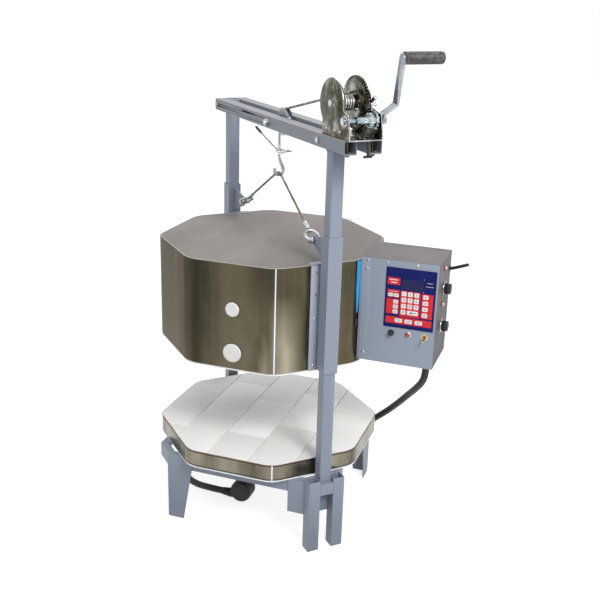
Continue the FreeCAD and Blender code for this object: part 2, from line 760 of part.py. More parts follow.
def make_bridle():
    """Shackles, the two legs of the bridle, the thimble and the clip on the hoist cable."""
    eye_x = value["lug_reach"] + 6
    eye = Vector(eye_x, 0, value["lug_eye"])
    reach = value["cable_drop_reach"]
    cable = value["cable_radius"]
    bar_radius = value["thimble_bar"]
    apex = Vector(reach, 0, value["thimble_low"] + bar_radius + cable + 0.2)
    along = Vector(apex.x - eye.x, 0, apex.z - eye.z).normalize()
    big = value["shackle_radius"]
    shackles = []
    legs = []
    for sign in (1, -1):
        eye = Vector(sign * eye_x, 0, value["lug_eye"])
        along = (apex - eye).normalize()
        centre = eye + along * big
        normal = along.cross(Vector(0, 1, 0))
        shackles.append(shaped(Part.makeTorus(big, value["shackle_bar"], centre, normal)))
        end = eye + along * (2 * big + value["shackle_bar"] + 0.1)
        shoulder = Vector(apex.x + sign * 8, 0, apex.z)
        tube = tube_along([apex, shoulder, end], cable, "bridle leg", bend=20)
        ferrule_end = end + along * 26
        ferrule = Part.makeCylinder(cable + 2.2, 26, end, along)
        legs.append(shaped(tube.fuse(ferrule)))
    node("shackles", *shackles, diagonal=True)
    node("bridle_front", legs[0], diagonal=True)
    node("bridle_rear", legs[1], diagonal=True)
    round_radius = value["thimble_radius"]
    low = value["thimble_low"]
    high = value["thimble_high"]
    centre_z = low + round_radius
    lean = math.asin(round_radius / (high - centre_z))
    touch = Vector(reach, round_radius * math.cos(lean), centre_z + round_radius * math.sin(lean))
    other = Vector(reach, -touch.y, touch.z)
    top = Vector(reach, 0, high)
    loop = Part.Wire([Part.LineSegment(top, touch).toShape(),
                      Part.Arc(touch, Vector(reach, 0, low), other).toShape(),
                      Part.LineSegment(other, top).toShape()])
    ring = Part.Wire(Part.Circle(top, touch - top, bar_radius).toShape())
    thimble = loop.makePipeShell([ring], True, False, 2)
    node("thimble", shaped(thimble), diagonal=True)
    clip_low = value["clip_low"]
    clip_high = value["clip_high"]
    tall = clip_high - clip_low
    saddle = Part.makeBox(18, 17, tall, Vector(reach - 9, -8, clip_low))
    legs_of_bolt = [Part.makeCylinder(2.5, 24, Vector(reach + side * 6.4, 8, clip_low + tall / 2),
                                      Vector(0, 1, 0)) for side in (-1, 1)]
    nuts = [Part.makeCylinder(4.6, 5, Vector(reach + side * 6.4, 12, clip_low + tall / 2),
                              Vector(0, 1, 0)) for side in (-1, 1)]
    clip = saddle.fuse(legs_of_bolt + nuts).removeSplitter()
    node("cable_clip", shaped(clip), diagonal=True)
    stem = Part.makeCylinder(cable, clip_low - high - 1.7, Vector(reach, 0, high + 1.6))
    tail_start = Vector(reach - 9.1, 0, clip_high - 6)
    tail_end = Vector(value["tail_reach"], 0, value["tail_high"])
    bend = tail_start + Vector(-20, 0, 0)
    tail = tube_along([tail_start, bend, tail_end], 2.4, "cable tail", bend=60)
    node("cable_tail", shaped(tail), shaped(stem), diagonal=True)
    drop_low = clip_high + 0.1
    axle_z = value["beam_top"] - value["post_side"] / 2
    drop = Part.makeCylinder(cable, axle_z - drop_low, Vector(reach, 0, drop_low))
    node("cable_drop", shaped(drop), diagonal=True)


# Winch, hoist cable and sheave

def winch_points():
    """The sheave, drum and pinion centres in the frame's own upright plane."""
    axle_z = value["beam_top"] - value["post_side"] / 2
    sheave = Vector(value["cable_drop_reach"] + value["sheave_pitch_radius"], 0, axle_z)
    drum = Vector(value["drum_reach"], 0, value["beam_top"] + value["drum_up"])
    apart = value["gear_module"] * (value["gear_teeth"] + value["pinion_teeth"]) / 2
    angle = math.radians(value["pinion_angle"])
    pinion = drum + Vector(math.cos(angle), 0, math.sin(angle)) * apart
    return sheave, drum, pinion


def disc(centre, radius, left, right):
    """A round plate across the frame, from one side to the other."""
    return Part.makeCylinder(radius, right - left, Vector(centre.x, left, centre.z), Vector(0, 1, 0))


def gear_shape(centre, teeth, left, right, start_angle):
    """A spur gear with straight-flanked teeth and backlash in each space."""
    module = value["gear_module"]
    pitch_radius = module * teeth / 2
    root = pitch_radius - 1.2 * module
    tip = pitch_radius + 0.85 * module
    step = 2 * math.pi / teeth
    half_root = step * 0.36
    half_pitch = step / 4 - value["tooth_backlash"] / 2 / pitch_radius
    half_tip = half_pitch * 0.5
    outline = []
    for tooth in range(int(teeth)):
        middle = start_angle + tooth * step
        for radius, offset in ((root, -half_root), (pitch_radius, -half_pitch), (tip, -half_tip),
                               (tip, half_tip), (pitch_radius, half_pitch), (root, half_root)):
            angle = middle + offset
            outline.append(Vector(centre.x + radius * math.cos(angle), left,
                                  centre.z + radius * math.sin(angle)))
    return prism_of(outline, Vector(0, right - left, 0))


def make_sheave():
    sheave, drum, pinion = winch_points()
    half = value["sheave_width"] / 2
    cable = value["cable_radius"]
    pitch = value["sheave_pitch_radius"]
    rim = pitch + value["sheave_rim"]
    floor = pitch - cable - 0.15
    body = doc.addObject("PartDesign::Body", "Wheel")
    plane = [part for part in body.Origin.OriginFeatures if part.Role == "XZ_Plane"][0]
    sketch = body.newObject("Sketcher::SketchObject", "HalfSection")
    sketch.AttachmentSupport = [(plane, "")]
    sketch.MapMode = "FlatFace"
    bore = value["axle_radius"] + value["running_fit"]
    profile = [(bore, -half), (floor - 6, -half), (floor - 6, -half + 3), (rim - 4, -half + 3),
               (rim, -cable - 2.6), (floor, -cable - 0.2), (floor, cable + 0.2), (rim, cable + 2.6),
               (rim - 4, half - 3), (floor - 6, half - 3), (floor - 6, half), (bore, half)]
    for start, end in zip(profile, profile[1:] + profile[:1]):
        sketch.addGeometry(Part.LineSegment(Vector(*start, 0), Vector(*end, 0)), False)
    wheel = body.newObject("PartDesign::Revolution", "Turned")
    wheel.Profile = sketch
    wheel.ReferenceAxis = (sketch, ["V_Axis"])
    wheel.Angle = 360
    body.Tip = wheel
    body.Placement = Placement(Vector(), Rotation(Vector(1, 0, 0), -90))
    bind(body, Placement__Base__x="sheave_reach", Placement__Base__z="beam_top - post_side / 2")
    node("sheave", body, diagonal=True)


def make_cable_run():
    """The hoist cable over the sheave and along to the top of the drum's winding."""
    sheave, drum, pinion = winch_points()
    pitch = value["sheave_pitch_radius"]
    wound = value["drum_wound_radius"] + value["cable_radius"] + 0.2
    line = drum - sheave
    slope = math.atan2(line.z, line.x)
    lean = math.asin((pitch - wound) / line.Length)
    angle = slope + math.pi / 2 - lean
    out = Vector(math.cos(angle), 0, math.sin(angle))
    leaves = sheave + out * pitch
    joins = drum + out * wound
    begins = sheave - Vector(pitch, 0, 0)
    half_way = (math.pi + angle) / 2
    over = sheave + Vector(math.cos(half_way), 0, math.sin(half_way)) * pitch
    path = Part.Wire([Part.Arc(begins, over, leaves).toShape(),
                      Part.LineSegment(leaves, joins).toShape()])
    ring = Part.Wire(Part.Circle(begins, UP, value["cable_radius"]).toShape())
    run = path.makePipeShell([ring], True, False)
    node("cable_run", shaped(run), diagonal=True)


def make_winch():
    sheave, drum, pinion = winch_points()
    left = value["winch_left"]
    right = value["winch_right"]
    rear = value["winch_rear"]
    front = value["winch_front"]
    plate = value["plate"]
    base = value["beam_top"]
    axle = value["axle_radius"]
    fit = value["running_fit"]
    head = value["drum_flange_radius"] + 3
    base_plate = Part.makeBox(front - rear, right - left, plate, Vector(rear, left, base))
    for x in (rear + 15, front - 30):
        for y in (-value["post_side"], value["post_side"]):
            base_plate = base_plate.cut(Part.makeCylinder(value["mount_bolt_radius"], 20,
                                                          Vector(x, y, base - 5)))
    base_plate = base_plate.cut(Part.makeCylinder(3.2, 20, Vector(front - 8, 9, base - 5)))
    sides = []
    for near, tall in ((left, head), (right - plate, head * 0.62)):
        side = prism_of([Vector(rear, near, base), Vector(front, near, base),
                         Vector(front, near, base + 12), Vector(pinion.x + 14, near, pinion.z + 14),
                         Vector(drum.x + tall * 0.5, near, drum.z), Vector(drum.x - tall * 0.75, near, drum.z),
                         Vector(rear, near, base + 24)], Vector(0, plate, 0))
        side = side.fuse(disc(drum, tall, near, near + plate)).removeSplitter()
        side = side.cut(disc(drum, axle, near - 1, near + plate + 1))
        side = side.cut(disc(pinion, axle + fit, near - 1, near + plate + 1))
        sides.append(side)
    frame = base_plate.fuse(sides).removeSplitter()
    pivot = pawl_pivot()
    frame = frame.cut(disc(pivot, 3, right - plate - 1, right + 1))
    node("winch_frame", shaped(frame), diagonal=True)
    drum_axle = disc(drum, axle, left - 5, right + 5)
    drum_axle = drum_axle.fuse([disc(drum, axle + 3.5, left - 4, left), disc(drum, axle + 3.5, right, right + 4)])
    rods = [drum_axle.removeSplitter()]
    pin = disc(pivot, 3, pawl_left() - 2, right + 3).fuse(disc(pivot, 5, right, right + 2.5))
    rods.append(pin.removeSplitter())
    node("winch_rods", *[shaped(one) for one in rods], diagonal=True)
    make_drum(drum, axle + fit)
    make_pinion(pinion, axle)
    make_pawl(pivot, pinion)


def pawl_left():
    return value["ratchet_left"]


def pawl_pivot():
    sheave, drum, pinion = winch_points()
    return pinion + Vector(-18, 0, 32)


def make_drum(drum, bore):
    left = value["drum_left"]
    right = value["drum_right"]
    thick = value["flange_thick"]
    barrel = value["drum_barrel_radius"]
    flange = value["drum_flange_radius"]
    spool = disc(drum, barrel, left, right)
    spool = spool.fuse([disc(drum, flange, left, left + thick), disc(drum, flange, right - thick, right)])
    spool = spool.cut(disc(drum, bore, left - 1, right + 1)).removeSplitter()
    node("drum", shaped(spool), diagonal=True)
    turns = disc(drum, value["drum_wound_radius"], left + thick + 0.1, right - thick - 0.1)
    turns = turns.cut(disc(drum, barrel + 0.1, left, right))
    node("wound_cable", shaped(turns), diagonal=True)
    gear = gear_shape(drum, value["gear_teeth"], right, right + value["gear_width"], gear_phase())
    gear = gear.cut(disc(drum, bore, right - 1, right + 20))
    for turn in range(5):
        angle = math.radians(72 * turn + 20)
        centre = drum + Vector(math.cos(angle), 0, math.sin(angle)) * 34
        gear = gear.cut(disc(centre, 9, right - 1, right + 20))
    node("drum_gear", shaped(gear), diagonal=True)


def gear_phase():
    """The drum gear has a tooth on the line of centres, and the pinion has a space there."""
    return math.radians(value["pinion_angle"])


def make_pinion(pinion, axle):
    left = value["drum_right"] - 1
    right = left + value["gear_width"] + 2
    phase = gear_phase() + math.pi + math.pi / value["pinion_teeth"]
    teeth = gear_shape(pinion, value["pinion_teeth"], left, right, phase)
    shaft = disc(pinion, axle, value["winch_left"] - 4, value["winch_right"] + 14)
    cap = disc(pinion, axle + 4, value["winch_left"] - 6, value["winch_left"] - 0.3)
    ratchet = ratchet_shape(pinion)
    sleeve = disc(pinion, 9, left - 30, value["ratchet_left"] + 1)
    whole = teeth.fuse([shaft, cap, ratchet, sleeve]).removeSplitter()
    node("pinion_shaft", shaped(whole), diagonal=True)
    make_crank(pinion, axle)


def ratchet_shape(centre):
    """A wheel of leaning teeth that the pawl rides over."""
    count = 12
    outline = []
    near = value["ratchet_left"]
    tip = value["ratchet_radius"]
    for tooth in range(count):
        angle = 2 * math.pi * tooth / count
        outline.append(Vector(centre.x + tip * math.cos(angle), near, centre.z + tip * math.sin(angle)))
        later = angle + 0.04
        outline.append(Vector(centre.x + (tip - 4) * math.cos(later), near,
                              centre.z + (tip - 4) * math.sin(later)))
    return prism_of(outline, Vector(0, value["ratchet_width"], 0))


def make_pawl(pivot, pinion):
    """A finger on its pin, lifted just clear of the ratchet's tips."""
    near = value["ratchet_left"]
    reach = pinion - pivot
    side = Vector(-reach.z, 0, reach.x).normalize()
    aim = reach.normalize()
    tip = pinion - aim * (value["ratchet_radius"] + 0.6)
    start = Vector(pivot.x, near, pivot.z)
    outline = [start + side * 6, start - side * 6, Vector(tip.x, near, tip.z) - side * 3,
               Vector(tip.x, near, tip.z) + side * 1]
    finger = prism_of(outline, Vector(0, value["ratchet_width"], 0))
    boss = disc(pivot, 7, near, near + value["ratchet_width"])
    tab_start = start + side * 4
    tab = prism_of([tab_start, tab_start + side * 22 - aim * 4, tab_start + side * 22 - aim * 10,
                    tab_start - aim * 8], Vector(0, value["ratchet_width"], 0))
    pawl = finger.fuse([boss, tab]).cut(disc(pivot, 3 + value["running_fit"], near - 1, near + 10))
    node("pawl", shaped(pawl.removeSplitter()), diagonal=True)


def make_crank(pinion, axle):
    """A flat bar cranked outwards, with a grip that turns on its pin."""
    lean = math.radians(value["crank_lean"])
    up = Vector(math.sin(lean), 0, math.cos(lean))
    side = Vector(up.z, 0, -up.x)
    half = value["crank_bar"] / 2
    thick = value["crank_thick"]
    near = value["winch_right"] + 5.5
    offset = value["crank_offset"]
    radius = value["crank_radius"]
    profile = [(-half, near), (14, near), (36, near + offset), (radius + half, near + offset),
               (radius + half, near + offset + thick), (34, near + offset + thick), (12, near + thick),
               (-half, near + thick)]
    outline = [pinion + up * along + Vector(0, out, 0) - side * half for along, out in profile]
    arm = prism_of(outline, side * value["crank_bar"])
    ends = [e for e in arm.Edges if abs((e.Vertexes[0].Point - e.Vertexes[-1].Point).y) > thick - 0.01
            and abs((e.Vertexes[0].Point - e.Vertexes[-1].Point).z) < 0.01]
    arm = arm.makeFillet(half - 0.5, ends)
    arm = arm.cut(disc(pinion, axle, near - 1, near + thick + 1))
    nut = disc(pinion, axle + 4, near + thick, near + thick + 5)
    nut = nut.cut(disc(pinion, axle, near, near + 20))
    grip_centre = pinion + up * radius
    start = near + offset + thick
    pin = disc(grip_centre, 5, start, start + value["grip_length"] + 2)
    pin_head = disc(grip_centre, 8, start + value["grip_length"] + 0.6, start + value["grip_length"] + 3)
    node("crank_arm", shaped(arm.fuse([nut, pin, pin_head]).removeSplitter()), diagonal=True)
    grip = disc(grip_centre, value["grip_radius"], start + 0.3, start + value["grip_length"])
    grip = grip.cut(disc(grip_centre, 5 + value["running_fit"], start, start + 200))
    ends = [e for e in grip.Edges if e.Length > 2 * math.pi * (value["grip_radius"] - 0.1)]
    node("crank_grip", shaped(grip.makeFillet(2, ends)), diagonal=True)


# Control box, probe and plugs

RIVET_HEIGHTS = [20, 72, 136, 204, 262]
CASE_LEFT = "case_left"
CASE_RIGHT = "case_right"


def make_case():
    depth = "(case_back - case_front - case_sheet)"
    tall = "(case_top - case_bottom)"
    front = "(case_front + case_sheet)"
    shell = cut(box("case_width", depth, tall, CASE_LEFT, front, "case_bottom"),
                box("case_width - 2 * case_sheet", depth, tall + " - 2 * case_sheet",
                    CASE_LEFT + " + case_sheet", front + " - case_sheet", "case_bottom + case_sheet"))
    holes = [rod("4", "20", CASE_RIGHT + " - 10", "knob_y", up, "x") for up in ("knob_low", "knob_high")]
    holes += [rod("6", "20", CASE_RIGHT + " - 10", "pilot_y", up, "x") for up in ("pilot_low", "pilot_high")]
    holes.append(rod("cord_radius + 1", "20", "gland_x", "gland_y", "case_bottom - 10"))
    holes.append(rod("probe_radius + 0.3", "20", CASE_LEFT + " - 10", "probe_y", "probe_up", "x"))
    node("control_case", cut(shell, *holes))
    panel = box("case_width", "case_sheet", tall, CASE_LEFT, "case_front", "case_bottom")
    row = [rod("6", "20", x, "case_front - 10", "row_of_controls", "y") for x in ("fuse_x", "pilot_x", "toggle_x")]
    node("control_panel", cut(panel, *row))
    plate_y = "(case_front - 1.2)"
    pad = box("keypad_width", "1.2", "keypad_tall", "keypad_left", plate_y, "keypad_bottom")
    keys = []
    key_left = "keypad_left + 38"
    for row_of_keys in range(4):
        for column in range(3):
            x = "%s + %d" % (key_left, column * 15)
            z = "keypad_bottom + %d" % (38 + row_of_keys * 16)
            keys.append(box("10", "0.8", "9.5", x, plate_y + " - 0.8", z))
    node("keypad", fuse(pad, *keys))
    screws = []
    for x in ("12", "64", "140"):
        screws.append(taper("3.6", "2.2", "1.6", CASE_LEFT + " + " + x, "case_front", "case_top - 7", "y"))
    for screw in screws:
        screw.Placement = Placement(Vector(), Rotation(Vector(1, 0, 0), 90))
    for z in ("case_bottom + 22", "case_top - 28"):
        screw = taper("3.6", "2.2", "1.6", CASE_LEFT + " + 12", "case_front", z, "y")
        screw.Placement = Placement(Vector(), Rotation(Vector(1, 0, 0), 90))
        screws.append(screw)
    rivets = []
    rivet_face = value["bell_circumradius"] * COS_FLAT + value["plate"]
    aside = value["angle_web"] + value["angle_leg"] / 2
    shift = value["frame_shift"] * math.sqrt(0.5)
    for sign in (1, -1):
        for up in RIVET_HEIGHTS:
            for across in (-aside, aside):
                seat = Vector(sign * rivet_face, across, value["bell_bottom"] + up)
                rivet = Part.makeCylinder(3.4, 1.6, seat, Vector(sign, 0, 0))
                rivet.rotate(Vector(), UP, -45)
                rivet.translate(Vector(shift, shift, 0))
                rivets.append(shaped(rivet))
    node("bell_fasteners", *screws, *rivets)


def make_case_inside():
    inner_left = value["case_left"] + value["case_sheet"]
    front = value["case_front"] + value["case_sheet"]
    wide = value["board_width"]
    tall = value["board_tall"]
    gap = value["board_gap"]
    left = value["keypad_left"] + value["keypad_width"] / 2 - wide / 2
    low = value["keypad_bottom"] + value["keypad_tall"] / 2 - tall / 2
    face = front + gap + value["board_thick"]
    board = Part.makeBox(wide, value["board_thick"], tall, Vector(left, front + gap, low))
    posts = [Part.makeCylinder(3, gap, Vector(x, front, z), Vector(0, 1, 0))
             for x in (left + 6, left + wide - 6) for z in (low + 6, low + tall - 6)]
    chips = [Part.makeBox(wide / 4, 8, tall / 7, Vector(left + wide * x, face, low + tall * z))
             for x, z in ((0.1, 0.15), (0.45, 0.15), (0.1, 0.6), (0.5, 0.64))]
    node("controller_board", shaped(board.fuse(posts + chips).removeSplitter()))
    back = value["case_back"] - value["case_sheet"]
    deep = value["relay_deep"]
    first_x = inner_left + value["relay_inset"]
    first_z = value["case_bottom"] + value["relay_rise"]
    relays = [Part.makeBox(value["relay_width"], deep, value["relay_tall"], Vector(x, back - deep, z))
              for x in (first_x, first_x + value["relay_apart"])
              for z in (first_z, first_z + value["relay_step"])]
    terminals = Part.makeBox(2 * value["relay_width"] + 10, deep / 2, 22,
                             Vector(first_x + 10, back - deep / 2, value["case_bottom"] + 12))
    node("relays", *[shaped(one) for one in relays + [terminals]])


def make_controls():
    out = CASE_RIGHT
    pilots = []
    for up in ("pilot_low", "pilot_high"):
        pilots.append(fuse(rod("pilot_head", "3", out, "pilot_y", up, "x"),
                           rod("5.9", "pilot_depth", out + " - pilot_depth + 1", "pilot_y", up, "x"),
                           taper("5.5", "4", "3", out + " + 3", "pilot_y", up, "x")))
    pilots.append(fuse(rod("5.9", "16", "pilot_x", "case_front - 3", "row_of_controls", "y"),
                       rod("7.5", "1.5", "pilot_x", "case_front - 1.5", "row_of_controls", "y")))
    node("pilot_lights", *pilots)
    holder = fuse(rod("5.9", "30", "fuse_x", "case_front - 8", "row_of_controls", "y"),
                  rod("8", "4", "fuse_x", "case_front - 4", "row_of_controls", "y"),
                  rod("6.5", "6", "fuse_x", "case_front - 10", "row_of_controls", "y"))
    node("fuse_holder", holder)
    bush = cut(fuse(rod("5.9", "20", "toggle_x", "case_front - 6", "row_of_controls", "y"),
                    rod("8", "2.5", "toggle_x", "case_front - 2.5", "row_of_controls", "y")),
               rod("4.6", "12", "toggle_x", "case_front - 7", "row_of_controls", "y"))
    node("toggle_bush", bush)
    pivot = Vector(value["toggle_x"], value["case_front"] - 1, value["row_of_controls"])
    lever = Part.makeCone(1.9, 2.7, 18, pivot, Vector(0, -1, 0))
    barrel = Part.makeCylinder(3.2, 6.2, pivot - Vector(3.1, 0, 0), Vector(1, 0, 0))
    lever = lever.fuse([Part.makeSphere(2.7, pivot - Vector(0, 18, 0)), barrel])
    lever = lever.removeSplitter()
    lever.rotate(pivot, Vector(1, 0, 0), TOGGLE_REST)
    node("toggle_lever", shaped(lever))
    for name, up in (("lower", "knob_low"), ("upper", "knob_high")):
        shaft = rod("3.9", "22", out + " - 21", "knob_y", up, "x")
        skirt = rod("knob_radius + 3", "2.5", out + " + 0.4", "knob_y", up, "x")
        body = taper("knob_radius", "knob_radius - 2", "knob_length", out + " + 2.9", "knob_y", up, "x")
        node("knob_" + name, fuse(shaft, skirt, body))
    node("cord_peg", fuse(rod("4.5", "peg_length", out, "peg_y", "peg_up", "x"),
                          rod("8", "2", out, "peg_y", "peg_up", "x")))
    gland = fuse(rod("cord_radius + 5", "8", "gland_x", "gland_y", "case_bottom - 8"),
                 taper("cord_radius + 1.5", "cord_radius + 4", "gland_length - 8", "gland_x", "gland_y",
                       "case_bottom - gland_length"),
                 rod("cord_radius + 0.9", "14", "gland_x", "gland_y", "case_bottom - 2"),
                 rod("cord_radius + 5", "5", "gland_x", "gland_y", "case_bottom + case_sheet"))
    node("cord_gland", gland)
    probe = fuse(rod("probe_radius", "112", CASE_LEFT + " - 100", "probe_y", "probe_up", "x"),
                 rod("probe_radius + 4", "14", CASE_LEFT + " + case_sheet", "probe_y", "probe_up", "x"))
    node("thermocouple", probe)
    for which in ("upper", "lower"):
        radius = "%s_peep_radius" % which
        up = "%s_peep_up" % which
        face = "-bell_circumradius * cos(22.5 deg)"
        stem = rod(radius, "brick_thick", "peep_side", face, up, "y")
        head = rod(radius + " + plug_head", "5", "peep_side", face + " - 5.3", up, "y")
        neck = rod(radius, "6", "peep_side", face + " - 5", up, "y")
        node(which + "_peep_plug", fuse(stem, head, neck))


TOGGLE_REST = 14

# Power cord: out of the case, down behind the kiln, along the floor and under it to the plug

CORD_HEIGHT = 9.8
CORD_DROP = [(455, -50, 491), (455, -50, 466), (450, -37, 426), (434, 1, 388), (395, 74, 364),
             (350, 129, 288), (300, 181, 219), (249, 229, 162), (201, 263, 100), (142, 283, 45),
             (78, 276, 9.8), (30, 262, 9.8)]
CORD_FLOOR = [(30, 262, 9.8), (-50, 238.667, 9.8), (-130, 207, 9.8), (-200, 156, 9.8), (-250, 90, 9.8),
              (-262, 28, 9.8), (-240, -28, 9.8), (-195, -66, 9.8), (-139, -78, 16), (-103, -78, 16)]


def make_cord():
    radius = value["cord_radius"]
    drop = tube_along([Vector(*point) for point in CORD_DROP], radius, "power cord drop")
    node("power_cord_drop", shaped(drop))
    along_floor = tube_along([Vector(*point) for point in CORD_FLOOR], radius, "power cord on the floor")
    node("power_cord_floor", shaped(along_floor))
    end = Vector(*CORD_FLOOR[-1])
    neck = Part.makeCone(radius + 0.5, radius + 4, 34, end, Vector(1, 0, 0))
    head_radius = 31
    depth = 52
    head_centre = Vector(end.x + 34 + head_radius - 6, end.y - 17, head_radius)
    head = Part.makeCylinder(head_radius, depth, head_centre, Vector(0, 1, 0))
    head = head.makeFillet(5, [e for e in head.Edges if len(e.Vertexes) == 1])
    face_y = head_centre.y + depth
    blades = [Part.makeBox(2, 20, 10, Vector(head_centre.x + side - 1, face_y, head_centre.z - 2))
              for side in (-11, 11)]
    ground = Part.makeCylinder(2.8, 22, Vector(head_centre.x, face_y, head_centre.z - 14), Vector(0, 1, 0))
    plug = head.fuse([neck] + blades + [ground]).removeSplitter()
    node("plug", shaped(plug))


make_floor()
make_stand()
make_frame()
make_bolts()
make_bell()
make_lift_gear()
make_bridle()
make_sheave()
make_cable_run()
make_winch()
make_case()
make_case_inside()
make_controls()
make_cord()
doc.recompute()

for thing in doc.Objects:
    if "Invalid" in thing.State or "Error" in thing.State:
        raise RuntimeError("failed: " + thing.Name)
os.makedirs("parts", exist_ok=True)
for thing in nodes:
    shape = thing.Shape
    if shape.isNull() or not shape.isValid() or not shape.Solids:
        raise RuntimeError("bad shape: " + thing.Label)
    shape.exportStep("parts/%s.step" % thing.Label)
print(len(nodes), "nodes")
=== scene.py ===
import bmesh
import bpy
import math
import random
from mathutils import Matrix, Vector
from mathutils.geometry import intersect_line_sphere_2d


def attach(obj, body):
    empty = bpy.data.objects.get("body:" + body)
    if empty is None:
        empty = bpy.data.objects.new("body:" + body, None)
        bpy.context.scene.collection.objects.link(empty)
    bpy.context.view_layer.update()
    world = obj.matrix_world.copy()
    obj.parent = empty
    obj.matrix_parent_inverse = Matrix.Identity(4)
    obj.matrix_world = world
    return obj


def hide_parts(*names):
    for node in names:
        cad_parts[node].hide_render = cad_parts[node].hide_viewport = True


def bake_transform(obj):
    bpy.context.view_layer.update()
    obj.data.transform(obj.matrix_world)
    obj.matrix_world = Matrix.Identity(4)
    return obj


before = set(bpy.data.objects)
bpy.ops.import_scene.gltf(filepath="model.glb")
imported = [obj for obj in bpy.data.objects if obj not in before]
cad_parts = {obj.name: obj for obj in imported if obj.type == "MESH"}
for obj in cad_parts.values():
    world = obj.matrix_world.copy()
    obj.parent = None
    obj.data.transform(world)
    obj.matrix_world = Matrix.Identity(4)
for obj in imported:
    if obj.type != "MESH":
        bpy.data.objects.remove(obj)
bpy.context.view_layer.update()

MM = 0.001
DECK_HEIGHT = 243.0
FRAME_SHIFT = 10.6
DIAGONAL = math.sqrt(0.5)
TO_RIGHT = Vector((1, 0, 0))
TO_BACK = Vector((0, 1, 0))
POINTS_UP = Vector((0, 0, 1))

# Pieces are shaped in millimetres with heights from the floor. The stand, the bell and the box
# use the kiln's own axes. The lifting frame is turned: X runs from rear post to front post.
KILN = Matrix.Translation((0, 0, -DECK_HEIGHT * MM)) @ Matrix.Scale(MM, 4)
LIFT = (Matrix.Translation((FRAME_SHIFT * DIAGONAL * MM, FRAME_SHIFT * DIAGONAL * MM, -DECK_HEIGHT * MM))
        @ Matrix.Rotation(math.radians(-45), 4, "Z") @ Matrix.Scale(MM, 4))


def level_way(angle):
    """A level direction, at an angle from X."""
    return Vector((math.cos(angle), math.sin(angle), 0))


def upright_way(angle):
    """A direction in the plane of X and height, at an angle from X."""
    return Vector((math.cos(angle), 0, math.sin(angle)))


def put_in_scene(name, data):
    thing = bpy.data.objects.new(name, data)
    bpy.context.collection.objects.link(thing)
    return thing


# Camera: solved from the photograph, as heading, dip and roll, with its place in millimetres

HEADING = math.radians(-18.878)
DIP = math.radians(19.029)
ROLL = math.radians(1.701)
CAMERA_PLACE = Vector((855.8, -2258.1, 1181.0))


def aim_camera():
    data = bpy.data.cameras.new("view")
    data.sensor_width = 36
    data.lens = 55.062
    data.clip_end = 20
    camera = put_in_scene("view", data)
    forward = Vector((math.sin(HEADING) * math.cos(DIP), math.cos(HEADING) * math.cos(DIP), -math.sin(DIP)))
    level = Vector((math.cos(HEADING), -math.sin(HEADING), 0))
    above = level.cross(forward)
    right = level * math.cos(ROLL) + above * math.sin(ROLL)
    top = above * math.cos(ROLL) - level * math.sin(ROLL)
    turn = Matrix((right, top, -forward)).transposed().to_4x4()
    camera.matrix_world = Matrix.Translation(CAMERA_PLACE * MM) @ turn
    bpy.context.scene.camera = camera


aim_camera()


# Materials: sockets that can be added and multiplied, and one way to add any node

def feed(tree, slot, value):
    """Give a socket a link or a plain value."""
    if isinstance(value, Field):
        tree.links.new(value.socket, slot)
    else:
        slot.default_value = value


class Field:
    """A socket that takes part in sums: each sign adds its Math node."""

    def __init__(self, tree, socket):
        self.tree = tree
        self.socket = socket

    def math(self, operation, *values):
        node = self.tree.nodes.new("ShaderNodeMath")
        node.operation = operation
        for slot, value in zip(node.inputs, values):
            feed(self.tree, slot, value)
        return Field(self.tree, node.outputs[0])

    def __add__(self, other):
        return self.math("ADD", self, other)

    def __radd__(self, other):
        return self.math("ADD", self, other)

    def __sub__(self, other):
        return self.math("SUBTRACT", self, other)

    def __rsub__(self, other):
        return self.math("SUBTRACT", other, self)

    def __mul__(self, other):
        return self.math("MULTIPLY", self, other)

    def __rmul__(self, other):
        return self.math("MULTIPLY", self, other)

    def __truediv__(self, other):
        return self.math("DIVIDE", self, other)

    def size(self):
        return self.math("ABSOLUTE", self)

    def clipped(self):
        """The same number, kept between nought and one."""
        kept = self.math("ADD", self, 0.0)
        kept.socket.node.use_clamp = True
        return kept


